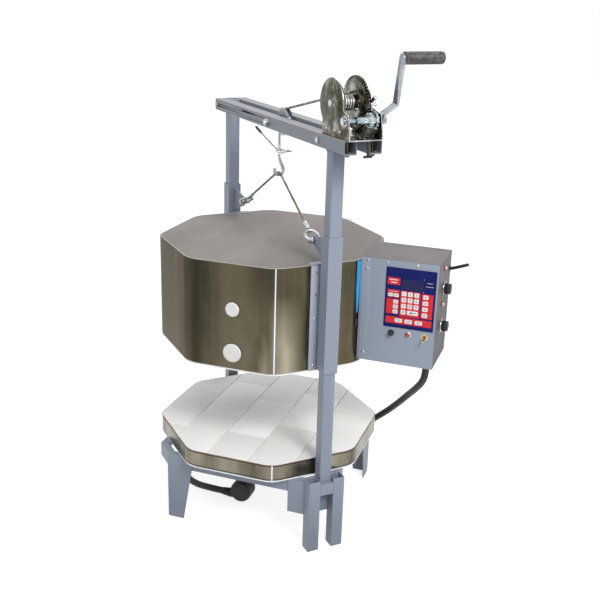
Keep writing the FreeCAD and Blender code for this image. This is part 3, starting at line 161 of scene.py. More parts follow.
class Finish:
    """A material under construction."""

    def __init__(self, name, colour, roughness=0.5, metallic=0.0, **settings):
        self.material = bpy.data.materials.new(name)
        self.material.use_nodes = True
        self.tree = self.material.node_tree
        self.tree.nodes.clear()
        self.shader = self.tree.nodes.new("ShaderNodeBsdfPrincipled")
        output = self.tree.nodes.new("ShaderNodeOutputMaterial")
        self.tree.links.new(self.shader.outputs[0], output.inputs[0])
        self.put("Base Color", (*colour, 1))
        self.put("Roughness", roughness)
        self.put("Metallic", metallic)
        for key, value in settings.items():
            self.put(key.replace("_", " "), value)
        self.material.diffuse_color = (*colour, 1)

    def put(self, name, value):
        feed(self.tree, self.shader.inputs[name], value)

    def node(self, kind, output=0, settings=None, **inputs):
        """Add any node: its settings first, then what its sockets get."""
        node = self.tree.nodes.new("ShaderNode" + kind)
        for key, value in (settings or {}).items():
            if key == "stops":
                ramp = node.color_ramp
                while len(ramp.elements) < len(value):
                    ramp.elements.new(1)
                for element, (place, colour) in zip(ramp.elements, value):
                    element.position = place
                    element.color = (*colour, 1)
            else:
                setattr(node, key, value)
        for key, value in inputs.items():
            feed(self.tree, node.inputs[key.replace("_", " ")], value)
        return Field(self.tree, node.outputs[output])

    def place(self, scale, turn=(0, 0, 0)):
        spot = self.node("TexCoord", "Object")
        return self.node("Mapping", Vector=spot, Scale=scale, Rotation=turn)

    def noise(self, scale, detail=4, rough=0.55, stretch=(1, 1, 1), turn=(0, 0, 0)):
        return self.node("TexNoise", "Fac", Vector=self.place(stretch, turn), Scale=scale, Detail=detail,
                         Roughness=rough)

    def cells(self, scale, stretch=(1, 1, 1)):
        return self.node("TexVoronoi", "Distance", Vector=self.place(stretch), Scale=scale)

    def ramp(self, field, *stops):
        return self.node("ValToRGB", settings={"stops": stops}, Fac=field)

    def mix(self, share, one, two):
        """Blend two colours; a Mix node keeps them in its seventh and eighth sockets."""
        def colour(value):
            return (*value, 1) if isinstance(value, tuple) else value
        node = self.tree.nodes.new("ShaderNodeMix")
        node.data_type = "RGBA"
        for index, value in ((0, share), (6, colour(one)), (7, colour(two))):
            feed(self.tree, node.inputs[index], value)
        return Field(self.tree, node.outputs[2])

    def bump(self, height, strength=0.3, distance=0.0005):
        self.put("Normal", self.node("Bump", Height=height, Strength=strength, Distance=distance))

    def axis(self, letter):
        spot = self.node("TexCoord", "Object")
        node = self.tree.nodes.new("ShaderNodeSeparateXYZ")
        self.tree.links.new(spot.socket, node.inputs[0])
        return Field(self.tree, node.outputs["XYZ".index(letter)])


def bell_steel():
    """Dark polished stainless whose colour is painted reflection and painted shade, after the blurred browns
    of a room.
    """
    finish = Finish("bell_steel", (0.075, 0.063, 0.040), 0.2, 1.0, Specular_Tint=(0.64, 0.63, 0.60, 1))
    height = finish.axis("Z")
    band = finish.noise(3.3, 2, 0.5, (1, 1, 0.05))
    cloud = finish.noise(8, 5, 0.62, (1, 1, 0.6))
    streak = finish.noise(70, 3, 0.6, (1, 1, 0.03))
    # Painted reflections: bands and clouds of dark to pale brown, and pale streaks that also give a faint
    # bump.
    body = finish.ramp(band * 0.62 + cloud * 0.38, (0.36, (0.036, 0.032, 0.021)),
                       (0.47, (0.062, 0.054, 0.034)), (0.56, (0.092, 0.078, 0.047)),
                       (0.68, (0.165, 0.142, 0.098)))
    body = finish.mix((streak - 0.42).clipped() * 0.7, body, (0.16, 0.145, 0.11))
    # Painted reflection: paler towards the bottom.
    low_painted_reflection = ((0.36 - height) * 4.0).clipped() * 0.38
    body = finish.mix(low_painted_reflection, body, (0.180, 0.150, 0.100))
    # Painted reflections and painted shade on the front face, from its left bend to its right: X and height
    # in metres
    wander = (cloud - 0.5) * 0.05
    side = finish.axis("X") + wander
    front = ((finish.axis("Y") * -1 - 0.276) * 120).clipped()
    bend_shade = (1 - (side + 0.098).size() / 0.030).clipped() * front
    body = finish.mix(bend_shade * 0.65, body, (0.028, 0.024, 0.016))
    pale_middle = (1 - (side + 0.012).size() / 0.060).clipped() * front
    body = finish.mix(pale_middle * 0.42, body, (0.165, 0.145, 0.100))
    high_shade = ((side - 0.030) * 18).clipped() * ((height - 0.40) * 8).clipped() * front
    body = finish.mix(high_shade * 0.6, body, (0.030, 0.028, 0.022))
    low_reflection_streak = (1 - (side - 0.092).size() / 0.016).clipped() * ((0.37 - height) * 8).clipped() * front
    body = finish.mix(low_reflection_streak * 0.7, body, (0.34, 0.30, 0.22))
    # A painted highlight: a bright window patch in the face that looks towards the front post
    along = (finish.axis("X") + finish.axis("Y")) * DIAGONAL
    outward = (finish.axis("X") - finish.axis("Y")) * DIAGONAL
    window = (1 - (along + 0.090 + wander).size() / 0.050).clipped() * ((outward - 0.272) * 160).clipped()
    window = window * ((0.46 - height) * 6.5).clipped()
    body = finish.mix(window * 0.9, body, (0.42, 0.375, 0.285))
    finish.put("Base Color", body)
    finish.put("Roughness", 0.10 + finish.noise(24, 4, 0.65, (1, 1, 0.4)) * 0.18)
    finish.bump(finish.noise(7, 2, 0.4, (1, 1, 0.3)) + streak * 0.03, 0.22, 0.004)
    return finish.material


def band_steel():
    """The floor's band: brushed, with a dark red-brown line under its top edge, darker along its bottom edge,
    and blots that are partly dull patches and partly painted reflection.
    """
    finish = Finish("band_steel", (0.16, 0.135, 0.095), 0.24, 1.0)
    height = finish.axis("Z")
    cloud = finish.noise(11, 5, 0.6, (1, 1, 0.3))
    # Blots: partly dull patches, partly painted reflection.
    body = finish.ramp(cloud, (0.33, (0.105, 0.092, 0.066)), (0.5, (0.215, 0.192, 0.146)),
                       (0.68, (0.330, 0.305, 0.245)))
    # A dark red-brown line under the top edge.
    dark_top_line = ((height + 0.0065) * 700).clipped() * 0.85
    body = finish.mix(dark_top_line, body, (0.075, 0.038, 0.024))
    # Darker and greener along the bottom edge.
    dark_bottom_edge = ((-0.0405 - height) * 400).clipped() * 0.8
    body = finish.mix(dark_bottom_edge, body, (0.030, 0.040, 0.036))
    finish.put("Base Color", body)
    finish.put("Roughness", 0.18 + cloud * 0.2)
    finish.bump(finish.noise(9, 2, 0.4, (1, 1, 0.3)), 0.2, 0.003)
    return finish.material


def seam_steel():
    """The bright edge of the lapped sheet."""
    finish = Finish("seam_steel", (0.78, 0.82, 0.90), 0.25, 1.0)
    finish.put("Roughness", 0.2 + finish.noise(90, 3) * 0.2)
    return finish.material


def enamel(name, colour, warm, shine=0.42, painted_edge_highlight=None):
    """Blue-grey enamel with a faint orange peel, dust, a few rubbed patches and painted shade low down; where
    asked, a painted highlight along edges.
    """
    finish = Finish(name, colour, shine, 0.0, Specular_IOR_Level=0.5)
    drift = finish.noise(9, 5, 0.6)
    speck = finish.noise(240, 3, 0.7)
    tone = finish.mix(((drift - 0.42) * 2.2).clipped() * 0.5, colour, warm)
    chips = (finish.noise(55, 6, 0.75) - 0.70).clipped() * 9
    tone = finish.mix(speck * 0.25, tone, tuple(channel * 0.8 for channel in colour))
    tone = finish.mix(chips.clipped() * 0.55, tone, (0.42, 0.41, 0.40))
    # Painted shade: darker low down.
    low_painted_shade = ((-0.03 - finish.axis("Z")) * 6).clipped() * 0.5
    tone = finish.mix(low_painted_shade, tone, (0.135, 0.152, 0.185))
    # A painted highlight, warm orange-brown, along the edges that the mask picks.
    if painted_edge_highlight:
        tone = finish.mix(painted_edge_highlight(finish) * 0.8, tone, (0.47, 0.34, 0.20))
    finish.put("Base Color", tone)
    finish.put("Roughness", shine - 0.1 + drift * 0.22)
    finish.bump(speck * 0.5 + finish.noise(90, 2) * 0.5, 0.12, 0.0006)
    return finish.material


def beam_edge_highlights(finish):
    """Where a warm orange-brown highlight is painted: the near upper edge of each tube of the beam."""
    across = (finish.axis("X") + finish.axis("Y")) * DIAGONAL - FRAME_SHIFT * MM
    at_top = ((finish.axis("Z") - (BEAM_TOP - DECK_HEIGHT - 1.6) * MM) * 4000).clipped()
    highlight_breakup = finish.noise(40, 5, 0.7)
    left = (1 - (across + (TUBE_REACH - 1.4) * MM).size() / 0.0022).clipped()
    right = (1 - (across - (TUBE_SIDE / 2 + 1.4) * MM).size() / 0.0022).clipped()
    return ((left + right) * 2 * at_top * (highlight_breakup + 0.45)).clipped()


def firebrick(name, base, stain, pores=1.0):
    """Soft insulating brick: pits of several sizes, darkened as painted shade, sandy grain and brown specks.
    """
    finish = Finish(name, base, 0.93, 0.0)
    tone = finish.node("Attribute", "Fac", settings={"attribute_name": "tone", "attribute_type": "GEOMETRY"})
    sand = finish.noise(420, 5, 0.75)
    drift = finish.noise(11, 5, 0.6)
    body = finish.mix(((drift - 0.38) * 2.0).clipped() * 0.6, base, stain)
    body = finish.mix(sand * 0.3, body, tuple(channel * 0.86 for channel in base))
    body = finish.mix(tone * 0.55, body, tuple(min(1.0, channel * 1.08) for channel in base))
    pits = (0.17 - finish.cells(170)).clipped() * 6
    big_pits = (0.055 - finish.cells(34)).clipped() * 14
    holes = (pits * 0.5 + big_pits).clipped()
    speck = (0.085 - finish.cells(13)).clipped() * 11
    # Painted shade: the pits are darkened.
    body = finish.mix(holes * 0.5, body, tuple(channel * 0.5 for channel in stain))
    finish.put("Base Color", finish.mix(speck.clipped() * 0.35, body, (0.30, 0.20, 0.13)))
    finish.bump(sand * 0.25 - holes * pores + drift * 0.4, 0.55, 0.0012)
    return finish.material


def lid_coat():
    """Troweled cement over the roof bricks: taupe, darker towards its right as painted shade, with soft
    smears and a few pale scuffs.
    """
    base = (0.300, 0.272, 0.252)
    finish = Finish("lid_coat", base, 0.82, 0.0, Specular_IOR_Level=0.25)
    sweep = finish.noise(7, 5, 0.62, (1, 0.45, 1), (0, 0, 0.7))
    fine = finish.noise(260, 4, 0.7)
    scuff = (finish.noise(16, 6, 0.7, (1, 0.4, 1), (0, 0, -0.5)) - 0.60).clipped() * 5
    body = finish.ramp(sweep, (0.3, (0.262, 0.236, 0.220)), (0.5, (0.305, 0.276, 0.258)),
                       (0.72, (0.370, 0.340, 0.318)))
    body = finish.mix(fine * 0.3, body, (0.235, 0.212, 0.195))
    # Painted shade: darker towards the right.
    body = finish.mix((finish.axis("X") * 6).clipped() * 0.75, body, (0.185, 0.172, 0.162))
    smudge = (0.030 - finish.cells(9, (1, 0.5, 1))).clipped() * 26
    body = finish.mix(smudge.clipped() * 0.35, body, (0.17, 0.15, 0.14))
    finish.put("Base Color", finish.mix(scuff.clipped() * 0.4, body, (0.46, 0.43, 0.41)))
    finish.bump(sweep * 0.6 + fine * 0.3, 0.35, 0.0012)
    return finish.material


def plated(name, dark, light, pale_reflection, rough=0.17, cloud_size=34):
    """Plated metal: its own tint, run through with patches from dark through mid to pale that are painted
    reflections.
    """
    finish = Finish(name, light, rough, 1.0)
    cloud = finish.noise(cloud_size, 5, 0.62)
    # Painted reflections: dark, mid and pale patches over the plate's own tint.
    finish.put("Base Color", finish.ramp(cloud, (0.34, dark), (0.5, light), (0.68, pale_reflection)))
    finish.put("Roughness", rough + finish.noise(150, 4, 0.7) * 0.2)
    finish.bump(finish.noise(60, 3) + finish.noise(300, 2) * 0.2, 0.18, 0.0006)
    return finish.material


def plastic(name, colour, rough=0.45, grain=400, bump=0.12, **settings):
    """Moulded or printed plastic, rubber and film, with a fine grain and pale dust."""
    finish = Finish(name, colour, rough, 0.0, **settings)
    grit = finish.noise(grain, 3, 0.6)
    dust = finish.noise(30, 4, 0.6)
    pale = tuple(min(1.0, channel * 1.25 + 0.006) for channel in colour)
    finish.put("Base Color", finish.mix(((dust - 0.4) * 1.8).clipped() * 0.55, colour, pale))
    finish.put("Roughness", rough - 0.06 + grit * 0.16)
    finish.bump(grit, bump, 0.0004)
    return finish.material


def grip_plastic():
    """Scuffed dark grip: pale patches in its grain, partly dust and partly painted highlight."""
    finish = Finish("grip_plastic", (0.075, 0.070, 0.062), 0.42)
    patch = finish.noise(85, 5, 0.7)
    # Pale patches: partly dust, partly painted highlight.
    finish.put("Base Color", finish.ramp(patch, (0.36, (0.026, 0.024, 0.022)), (0.54, (0.080, 0.076, 0.068)),
                                         (0.70, (0.20, 0.19, 0.18))))
    finish.put("Roughness", 0.35 + patch * 0.3)
    finish.bump(patch, 0.4, 0.0008)
    return finish.material


def strand_wire(name, dark, middle, light):
    """Steel cable with grime in patches."""
    finish = Finish(name, middle, 0.34, 1.0)
    grime = finish.noise(70, 5, 0.6)
    finish.put("Base Color", finish.ramp(grime, (0.35, dark), (0.53, middle), (0.72, light)))
    finish.put("Roughness", 0.28 + grime * 0.25)
    return finish.material


def element_wire():
    """Resistance wire under a dull scale."""
    finish = Finish("element_wire", (0.10, 0.085, 0.075), 0.6, 0.6)
    scale = finish.noise(140, 5, 0.7)
    finish.put("Base Color", finish.ramp(scale, (0.35, (0.06, 0.05, 0.045)), (0.65, (0.2, 0.17, 0.15))))
    return finish.material


def case_enamel():
    """The box's warm grey: duller and darker down its side."""
    finish = Finish("case_enamel", (0.120, 0.110, 0.110), 0.38, 0.0, Specular_IOR_Level=0.14)
    height = finish.axis("Z")
    drift = finish.noise(9, 5, 0.6)
    speck = finish.noise(240, 3, 0.7)
    low = ((0.50 - height) * 5).clipped()
    tone = finish.mix(low, (0.170, 0.148, 0.150), (0.100, 0.102, 0.105))
    tone = finish.mix(((drift - 0.42) * 2.2).clipped() * 0.5, tone, (0.100, 0.086, 0.078))
    finish.put("Base Color", finish.mix(speck * 0.25, tone, (0.085, 0.080, 0.078)))
    finish.put("Roughness", 0.38 + drift * 0.22)
    finish.bump(speck * 0.5 + finish.noise(90, 2) * 0.5, 0.12, 0.0006)
    return finish.material


BEAM_TOP = 1103.0
TUBE_SIDE = 31.75
TUBE_REACH = TUBE_SIDE * 1.5

STEEL = bell_steel()
BAND_STEEL = band_steel()
SEAM = seam_steel()
BLUE_GREY = (0.285, 0.325, 0.405)
PAINT = enamel("frame_enamel", BLUE_GREY, (0.325, 0.335, 0.365))
BEAM_PAINT = enamel("beam_enamel", (0.245, 0.272, 0.320), (0.285, 0.285, 0.295), 0.42, beam_edge_highlights)
# The frame's enamel painted lighter on the angles' flanges: painted light where the posts shade them.
LIT_FLANGE_PAINT = enamel("flange_enamel_painted_light", (0.400, 0.445, 0.530), (0.420, 0.430, 0.465))
PANEL_PAINT = enamel("panel_enamel", (0.300, 0.345, 0.425), (0.340, 0.355, 0.385))
CASE_PAINT = case_enamel()
BRICK = firebrick("firebrick", (0.97, 0.945, 0.915), (0.90, 0.865, 0.825))
RIM = firebrick("rim_cement", (0.46, 0.43, 0.405), (0.36, 0.33, 0.305), 0.4)
WALL_BRICK = firebrick("wall_firebrick", (0.76, 0.735, 0.69), (0.66, 0.62, 0.55))
LIP = firebrick("lip_cement", (0.97, 0.96, 0.95), (0.88, 0.86, 0.83), 0.4)
LID = lid_coat()
OLIVE_ZINC = plated("olive_zinc", (0.024, 0.021, 0.014), (0.076, 0.068, 0.047), (0.34, 0.345, 0.30),
                    0.16, 30)
DRUM_ZINC = plated("drum_zinc", (0.030, 0.030, 0.024), (0.150, 0.148, 0.120), (0.48, 0.52, 0.48),
                   0.12, 30)
ZINC = plated("zinc", (0.22, 0.23, 0.23), (0.50, 0.51, 0.52), (0.78, 0.79, 0.78), 0.14)
# The pinion shaft's zinc: its teal is painted reflection.
TEAL_ZINC = plated("zinc_teal_reflection", (0.12, 0.19, 0.22), (0.48, 0.56, 0.58), (0.88, 0.88, 0.85), 0.10)
CRANK_STEEL = plated("crank_steel", (0.20, 0.215, 0.235), (0.38, 0.41, 0.44), (0.56, 0.60, 0.64), 0.25, 22)
GRIP = grip_plastic()
BLACK = plastic("black_plastic", (0.010, 0.010, 0.011), 0.3)
RUBBER = plastic("cord_rubber", (0.012, 0.012, 0.013), 0.55, 500, 0.25)
WHITE = plastic("white_print", (0.82, 0.82, 0.82), 0.4)
NAVY = plastic("navy_overlay", (0.010, 0.016, 0.115), 0.5, 600, 0.05, Specular_IOR_Level=0.08)
RED_PRINT = plastic("red_print", (0.64, 0.010, 0.016), 0.42, 600, 0.05)
WINDOW = plastic("display_window", (0.006, 0.010, 0.075), 0.2, 600, 0.02, Specular_IOR_Level=0.25)
RED_LENS = plastic("red_lens", (0.42, 0.008, 0.016), 0.12, 600, 0.02, Coat_Weight=0.6)
# Pale pink lens: a painted highlight on the pilot lamps.
GLINT_LENS = plastic("lens_painted_highlight", (0.85, 0.62, 0.64), 0.15, 600, 0.02, Coat_Weight=0.6)
CERAMIC = firebrick("plug_ceramic", (0.82, 0.81, 0.79), (0.74, 0.72, 0.68), 0.5)
GOLD = plated("gilt", (0.30, 0.19, 0.07), (0.70, 0.53, 0.28), (0.90, 0.85, 0.75), 0.14, 90)
ROPE = strand_wire("strand_wire", (0.13, 0.115, 0.09), (0.27, 0.25, 0.215), (0.46, 0.43, 0.39))
# A lighter copy of the same strand wire: painted highlight on the cable below the sheave, on the drum, at the
# eye and the tail.
HIGHLIT_ROPE = strand_wire("strand_painted_highlight", (0.24, 0.23, 0.22), (0.50, 0.49, 0.47), (0.78, 0.78, 0.77))
WIRE = element_wire()
FILM = plastic("blue_film", (0.025, 0.34, 0.70), 0.3, 200, 0.2)
BOARD = plastic("circuit_board", (0.02, 0.13, 0.05), 0.4)
CHROME = plated("shackle_zinc", (0.24, 0.28, 0.29), (0.58, 0.62, 0.63), (0.86, 0.88, 0.88), 0.12, 60)
TAPE = plastic("brown_tape", (0.045, 0.030, 0.022), 0.6)
PALE_RED = plastic("faded_print", (0.50, 0.42, 0.50), 0.45)


# Mesh work: each piece is shaped with mesh operators in its own space

class Piece:
    """A mesh under construction, in millimetres in its own space."""

    def __init__(self, space=KILN):
        self.mesh = bmesh.new()
        self.space = space

    def added(self, make):
        """The vertices that a step adds."""
        known = set(self.mesh.verts)
        make()
        return [vert for vert in self.mesh.verts if vert not in known]

    def edges_of(self, verts):
        chosen = set(verts)
        return [edge for edge in self.mesh.edges if edge.verts[0] in chosen and edge.verts[1] in chosen]

    def faces_of(self, verts):
        chosen = set(verts)
        return [face for face in self.mesh.faces if all(vert in chosen for vert in face.verts)]

    def ease(self, edges, width, segments=2):
        if width and edges:
            bmesh.ops.bevel(self.mesh, geom=list(edges), offset=width, offset_type="OFFSET", affect="EDGES",
                            segments=segments, profile=0.5, material=-1, clamp_overlap=True)

    def sharp_edges(self, verts, degrees):
        limit = math.radians(degrees)
        return [edge for edge in self.edges_of(verts)
                if len(edge.link_faces) == 2 and edge.calc_face_angle(0) > limit]

    def block(self, low, high, bevel, segments=2, turn=None, index=0):
        low, high = Vector(low), Vector(high)
        size = high - low
        matrix = Matrix.Translation((low + high) / 2) @ (turn or Matrix()) @ Matrix.Diagonal((*size, 1))

        def make():
            verts = bmesh.ops.create_cube(self.mesh, size=1, matrix=matrix)["verts"]
            self.mesh.normal_update()
            self.ease(self.edges_of(verts), bevel, segments)
        return self.coloured(self.added(make), index)

    def coloured(self, verts, index):
        """Give faces one of the piece's other materials, counted from its first."""
        if index:
            for face in self.faces_of(verts):
                face.material_index = index
        return verts

    def rod(self, start, end, radius, sides=32, bevel=0.5, index=0):
        start, end = Vector(start), Vector(end)
        run = end - start
        turn = POINTS_UP.rotation_difference(run).to_matrix().to_4x4()
        matrix = Matrix.Translation((start + end) / 2) @ turn

        def make():
            verts = bmesh.ops.create_cone(self.mesh, cap_ends=True, segments=sides, radius1=radius,
                                          radius2=radius, depth=run.length, matrix=matrix)["verts"]
            self.mesh.normal_update()
            self.ease(self.sharp_edges(verts, 50 if sides > 8 else 20), bevel)
        return self.coloured(self.added(make), index)

    def lathe(self, profile, centre, axis, steps=48, index=0):
        """Turn a profile of (distance out, distance along) about an axis."""
        turn = POINTS_UP.rotation_difference(Vector(axis)).to_matrix().to_4x4()
        matrix = Matrix.Translation(centre) @ turn

        def make():
            verts = [self.mesh.verts.new((out, 0, along)) for out, along in profile]
            edges = [self.mesh.edges.new(pair) for pair in zip(verts, verts[1:])]
            bmesh.ops.spin(self.mesh, geom=verts + edges, cent=(0, 0, 0), axis=(0, 0, 1),
                           angle=math.tau, steps=steps, use_merge=True)
        verts = self.added(make)
        bmesh.ops.remove_doubles(self.mesh, verts=verts, dist=1e-4)
        verts = [vert for vert in verts if vert.is_valid]
        bmesh.ops.transform(self.mesh, matrix=matrix, verts=verts)
        bmesh.ops.recalc_face_normals(self.mesh, faces=self.faces_of(verts))
        return self.coloured(verts, index)

    def plate(self, outline, along, bevel=0.6, segments=2, index=0):
        """A flat outline pushed along a direction, with eased edges."""
        def make():
            verts = [self.mesh.verts.new(point) for point in outline]
            face = self.mesh.faces.new(verts)
            face.normal_update()
            pushed = bmesh.ops.extrude_face_region(self.mesh, geom=[face])["geom"]
            moved = [item for item in pushed if isinstance(item, bmesh.types.BMVert)]
            bmesh.ops.translate(self.mesh, vec=Vector(along), verts=moved)
        verts = self.added(make)
        faces = self.faces_of(verts)
        bmesh.ops.recalc_face_normals(self.mesh, faces=faces)
        self.mesh.normal_update()
        known = set(self.mesh.verts) - set(verts)
        self.ease(self.sharp_edges(verts, 30), bevel, segments)
        return self.coloured([vert for vert in self.mesh.verts if vert not in known], index)

    def slab(self, centre, size, bevel, segments=2, turn=None, index=0):
        """A block about its centre."""
        return self.block(centre - size / 2, centre + size / 2, bevel, segments, turn, index)

    def bar(self, line, radius, sides, index=0, closed=False):
        """A round bar along a line of points."""
        return self.coloured(self.added(lambda: sweep(self.mesh, line, radius, sides, closed)), index)

    def done(self, name, body, materials, replaces=(), angle=38):
        """Make the object: its faces are smooth up to the angle, and it rides on its body."""
        mesh = bpy.data.meshes.new(name)
        self.mesh.normal_update()
        limit = math.radians(angle)
        for edge in self.mesh.edges:
            edge.smooth = len(edge.link_faces) == 2 and edge.calc_face_angle(0) < limit
        for face in self.mesh.faces:
            face.smooth = True
        self.mesh.transform(self.space)
        self.mesh.to_mesh(mesh)
        self.mesh.free()
        for material in materials if isinstance(materials, list) else [materials]:
            mesh.materials.append(material)
        thing = put_in_scene(name, mesh)
        if body:
            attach(thing, body)
        if replaces:
            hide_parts(*replaces)
        return thing


def with_mesh_of(curve, use):
    """Hand a curve's mesh to a function, then clear both away."""
    holder = bpy.data.objects.new(curve.name, curve)
    mesh = bpy.data.meshes.new_from_object(holder)
    use(mesh)
    bpy.data.objects.remove(holder)
    bpy.data.meshes.remove(mesh)
    bpy.data.curves.remove(curve)


def smooth_line(points):
    """Points read back from the smooth spline that has these control points."""
    data = bpy.data.curves.new("line", "CURVE")
    data.dimensions = "3D"
    data.resolution_u = 10
    spline = data.splines.new("NURBS")
    spline.points.add(len(points) - 1)
    for slot, point in zip(spline.points, points):
        slot.co = (*point, 1)
    spline.order_u = 3
    spline.use_endpoint_u = True
    line = []
    with_mesh_of(data, lambda mesh: line.extend(vert.co.copy() for vert in mesh.vertices))
    return line


def sweep(mesh, line, radius, sides, closed=False):
    """Rings of one size along a line, bridged into a tube and capped."""
    rings = []
    side = None
    for index, point in enumerate(line):
        before = line[index - 1] if index or closed else point
        after = line[(index + 1) % len(line)] if closed or index + 1 < len(line) else point
        along = (after - before).normalized()
        if side is None:
            side = along.orthogonal().normalized()
        side = (side - along * side.dot(along)).normalized()
        other = along.cross(side)
        ring = [mesh.verts.new(point + (side * math.cos(math.tau * turn / sides)
                                        + other * math.sin(math.tau * turn / sides)) * radius)
                for turn in range(sides)]
        rings.append([mesh.edges.new((ring[turn - 1], ring[turn])) for turn in range(sides)])
    pairs = list(zip(rings, rings[1:])) + ([(rings[-1], rings[0])] if closed else [])
    made = []
    for one, two in pairs:
        made += bmesh.ops.bridge_loops(mesh, edges=one + two)["faces"]
    if not closed:
        made += bmesh.ops.holes_fill(mesh, edges=rings[0] + rings[-1], sides=0)["faces"]
    bmesh.ops.recalc_face_normals(mesh, faces=made)


STRAND_SHARE = 0.36
CORE_SHARE = 0.62


def rope(piece, line, radius, strands=6, lay=9.0):
    """Strands laid round a core, each a tube on its own helix about the line."""
    strand = radius * STRAND_SHARE
    reach = radius - strand
    for number in range(strands):
        far = 0.0
        helix = []
        side = None
        for place, point in enumerate(line):
            before = line[max(place - 1, 0)]
            after = line[min(place + 1, len(line) - 1)]
            along = (after - before).normalized()
            far += (point - before).length
            side = side or along.orthogonal().normalized()
            side = (side - along * side.dot(along)).normalized()
            angle = math.tau * (far / (lay * radius) + number / strands)
            helix.append(point + (side * math.cos(angle) + along.cross(side) * math.sin(angle)) * reach)
        piece.bar(helix, strand, 6)


def evenly(line, step):
    """The same line with points a given step apart."""
    spread = [line[0]]
    for start, end in zip(line, line[1:]):
        run = (end - start).length
        count = max(1, round(run / step))
        for number in range(1, count + 1):
            spread.append(start.lerp(end, number / count))
    return spread


def dress(node, material, width):
    """A solid that is already the right shape gets its finish, and eased edges."""
    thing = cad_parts[node]
    thing.data.materials.clear()
    thing.data.materials.append(material)
    if width:
        weld = thing.modifiers.new("join", "WELD")
        weld.merge_threshold = 0.00001
        ease = thing.modifiers.new("ease", "BEVEL")
        ease.width = width * MM
        ease.segments = 2
        ease.limit_method = "ANGLE"
        ease.angle_limit = math.radians(40)
        ease.use_clamp_overlap = True


# Power cord: from the box's gland to the floor, round behind the kiln to its plug

CORD_RADIUS = 9.5
CORD_DROP = [(455, -50, 491), (455, -50, 467), (447, -36, 435), (424, 2, 396), (390, 66, 343),
             (347, 126, 280), (300, 181, 219), (249, 229, 162), (201, 263, 100), (142, 283, 45),
             (78, 276, 9.8), (30, 262, 9.8)]
CORD_FLOOR = [(30, 262, 9.8), (-50, 238.667, 9.8), (-130, 207, 9.8), (-200, 156, 9.8), (-254, 88, 9.8),
              (-272, 18, 9.8), (-256, -44, 9.8), (-204, -82, 9.8), (-141, -98, 16), (-103, -98, 16)]


def run_cord(name, route, node, body, **facts):
    line = smooth_line([KILN @ Vector(point) for point in route])
    piece = Piece(Matrix())
    piece.bar(line, CORD_RADIUS * MM, 20)
    cord = piece.done(name, body, RUBBER, (node,), 60)
    return cord, line


def make_cords():
    """The fall is one fixed mesh from the box's gland down to the floor; the rest lies on the floor."""
    drop, line = run_cord("power_cord_fall", CORD_DROP, "power_cord_drop", None, far_end="object")
    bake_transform(drop)
    plug = make_plug()
    run_cord("power_cord_lead", CORD_FLOOR, "power_cord_floor", "stand", far_end="plug", with_pieces=(plug,))


def make_plug():
    """A round head on its edge, five ribs round the cord's neck, three prongs and small studs."""
    piece = Piece()
    end = Vector(CORD_FLOOR[-1])
    head = 31.0
    thick = 52
    centre = Vector((end.x + 34 + head - 6, end.y - 17, head))
    piece.lathe([(0, 0), (head - 6, 0), (head - 1.8, 2), (head - 0.3, 6.5), (head, 12), (head, 26),
                 (head - 2, 28), (head - 2, 31), (head - 0.2, 33), (head - 0.5, 46), (head - 4, 51),
                 (head - 8, thick), (0, thick)], centre, TO_BACK, 56)
    relief = [(9.7, -2), (10.4, 0)]
    for ring in range(5):
        start = 1 + ring * 6.2
        wide = 10.8 + ring * 0.7
        relief += [(wide, start), (wide, start + 3.6), (wide - 1.2, start + 4.2), (wide - 1.2, start + 5.6)]
    relief += [(13.4, 34), (13.4, 46)]
    piece.lathe(relief, end, TO_RIGHT, 28)
    face = centre.y + thick
    for aside in (-11, 11):
        blade = centre.x + aside
        piece.block((blade - 1, face - 1, centre.z - 2), (blade + 1, face + 20, centre.z + 8), 0.5, index=1)
    piece.rod((centre.x, face - 1, centre.z - 14), (centre.x, face + 22, centre.z - 14), 2.8, index=1)
    for turn in range(7):
        stud = centre + upright_way(math.tau * turn / 7) * (head - 13)
        piece.rod(stud + TO_BACK * 0.6, stud - TO_BACK * 0.35, 2.2, sides=12, bevel=0.3)
    return piece.done("plug_body", "stand", [RUBBER, GOLD], ("plug",))


make_cords()


# Kiln floor and bell

DECK_RADIUS = 314.0
DECK_BEND = 60
BELL_RADIUS = 310.0
BELL_LOW = 491.6
BELL_TALL = 282.2
BELL_TOP = BELL_LOW + BELL_TALL
HALF_FLAT = math.radians(22.5)


def flat_of(corner):
    """How far out an octagon's flats are, from how far its corners are."""
    return corner * math.cos(HALF_FLAT)


def corner_of(flat):
    return flat / math.cos(HALF_FLAT)


DECK_FLAT = flat_of(DECK_RADIUS)
BELL_FLAT = flat_of(BELL_RADIUS)


def octagon_wall(piece, circumradius, low, high, bend, wall, bend_steps):
    """Sheet folded round the octagon, open above and below."""
    def make():
        matrix = Matrix.Translation((0, 0, low)) @ Matrix.Rotation(HALF_FLAT, 4, "Z")
        ring = bmesh.ops.create_circle(piece.mesh, cap_ends=False, segments=8, radius=circumradius,
                                       matrix=matrix)
        edges = piece.edges_of(ring["verts"])
        grown = bmesh.ops.extrude_edge_only(piece.mesh, edges=edges)["geom"]
        moved = [item for item in grown if isinstance(item, bmesh.types.BMVert)]
        bmesh.ops.translate(piece.mesh, vec=(0, 0, high - low), verts=moved)
        upright = [edge for edge in piece.edges_of(list(ring["verts"]) + moved)
                   if abs(edge.verts[0].co.z - edge.verts[1].co.z) > 1]
        piece.ease(upright, bend * math.tan(HALF_FLAT), bend_steps)
    verts = piece.added(make)
    faces = piece.faces_of(verts)
    for face in faces:
        face.normal_update()
        if face.normal.dot(face.calc_center_median() * Vector((1, 1, 0))) < 0:
            face.normal_flip()
    bmesh.ops.solidify(piece.mesh, geom=faces + piece.edges_of(verts) + verts, thickness=wall)


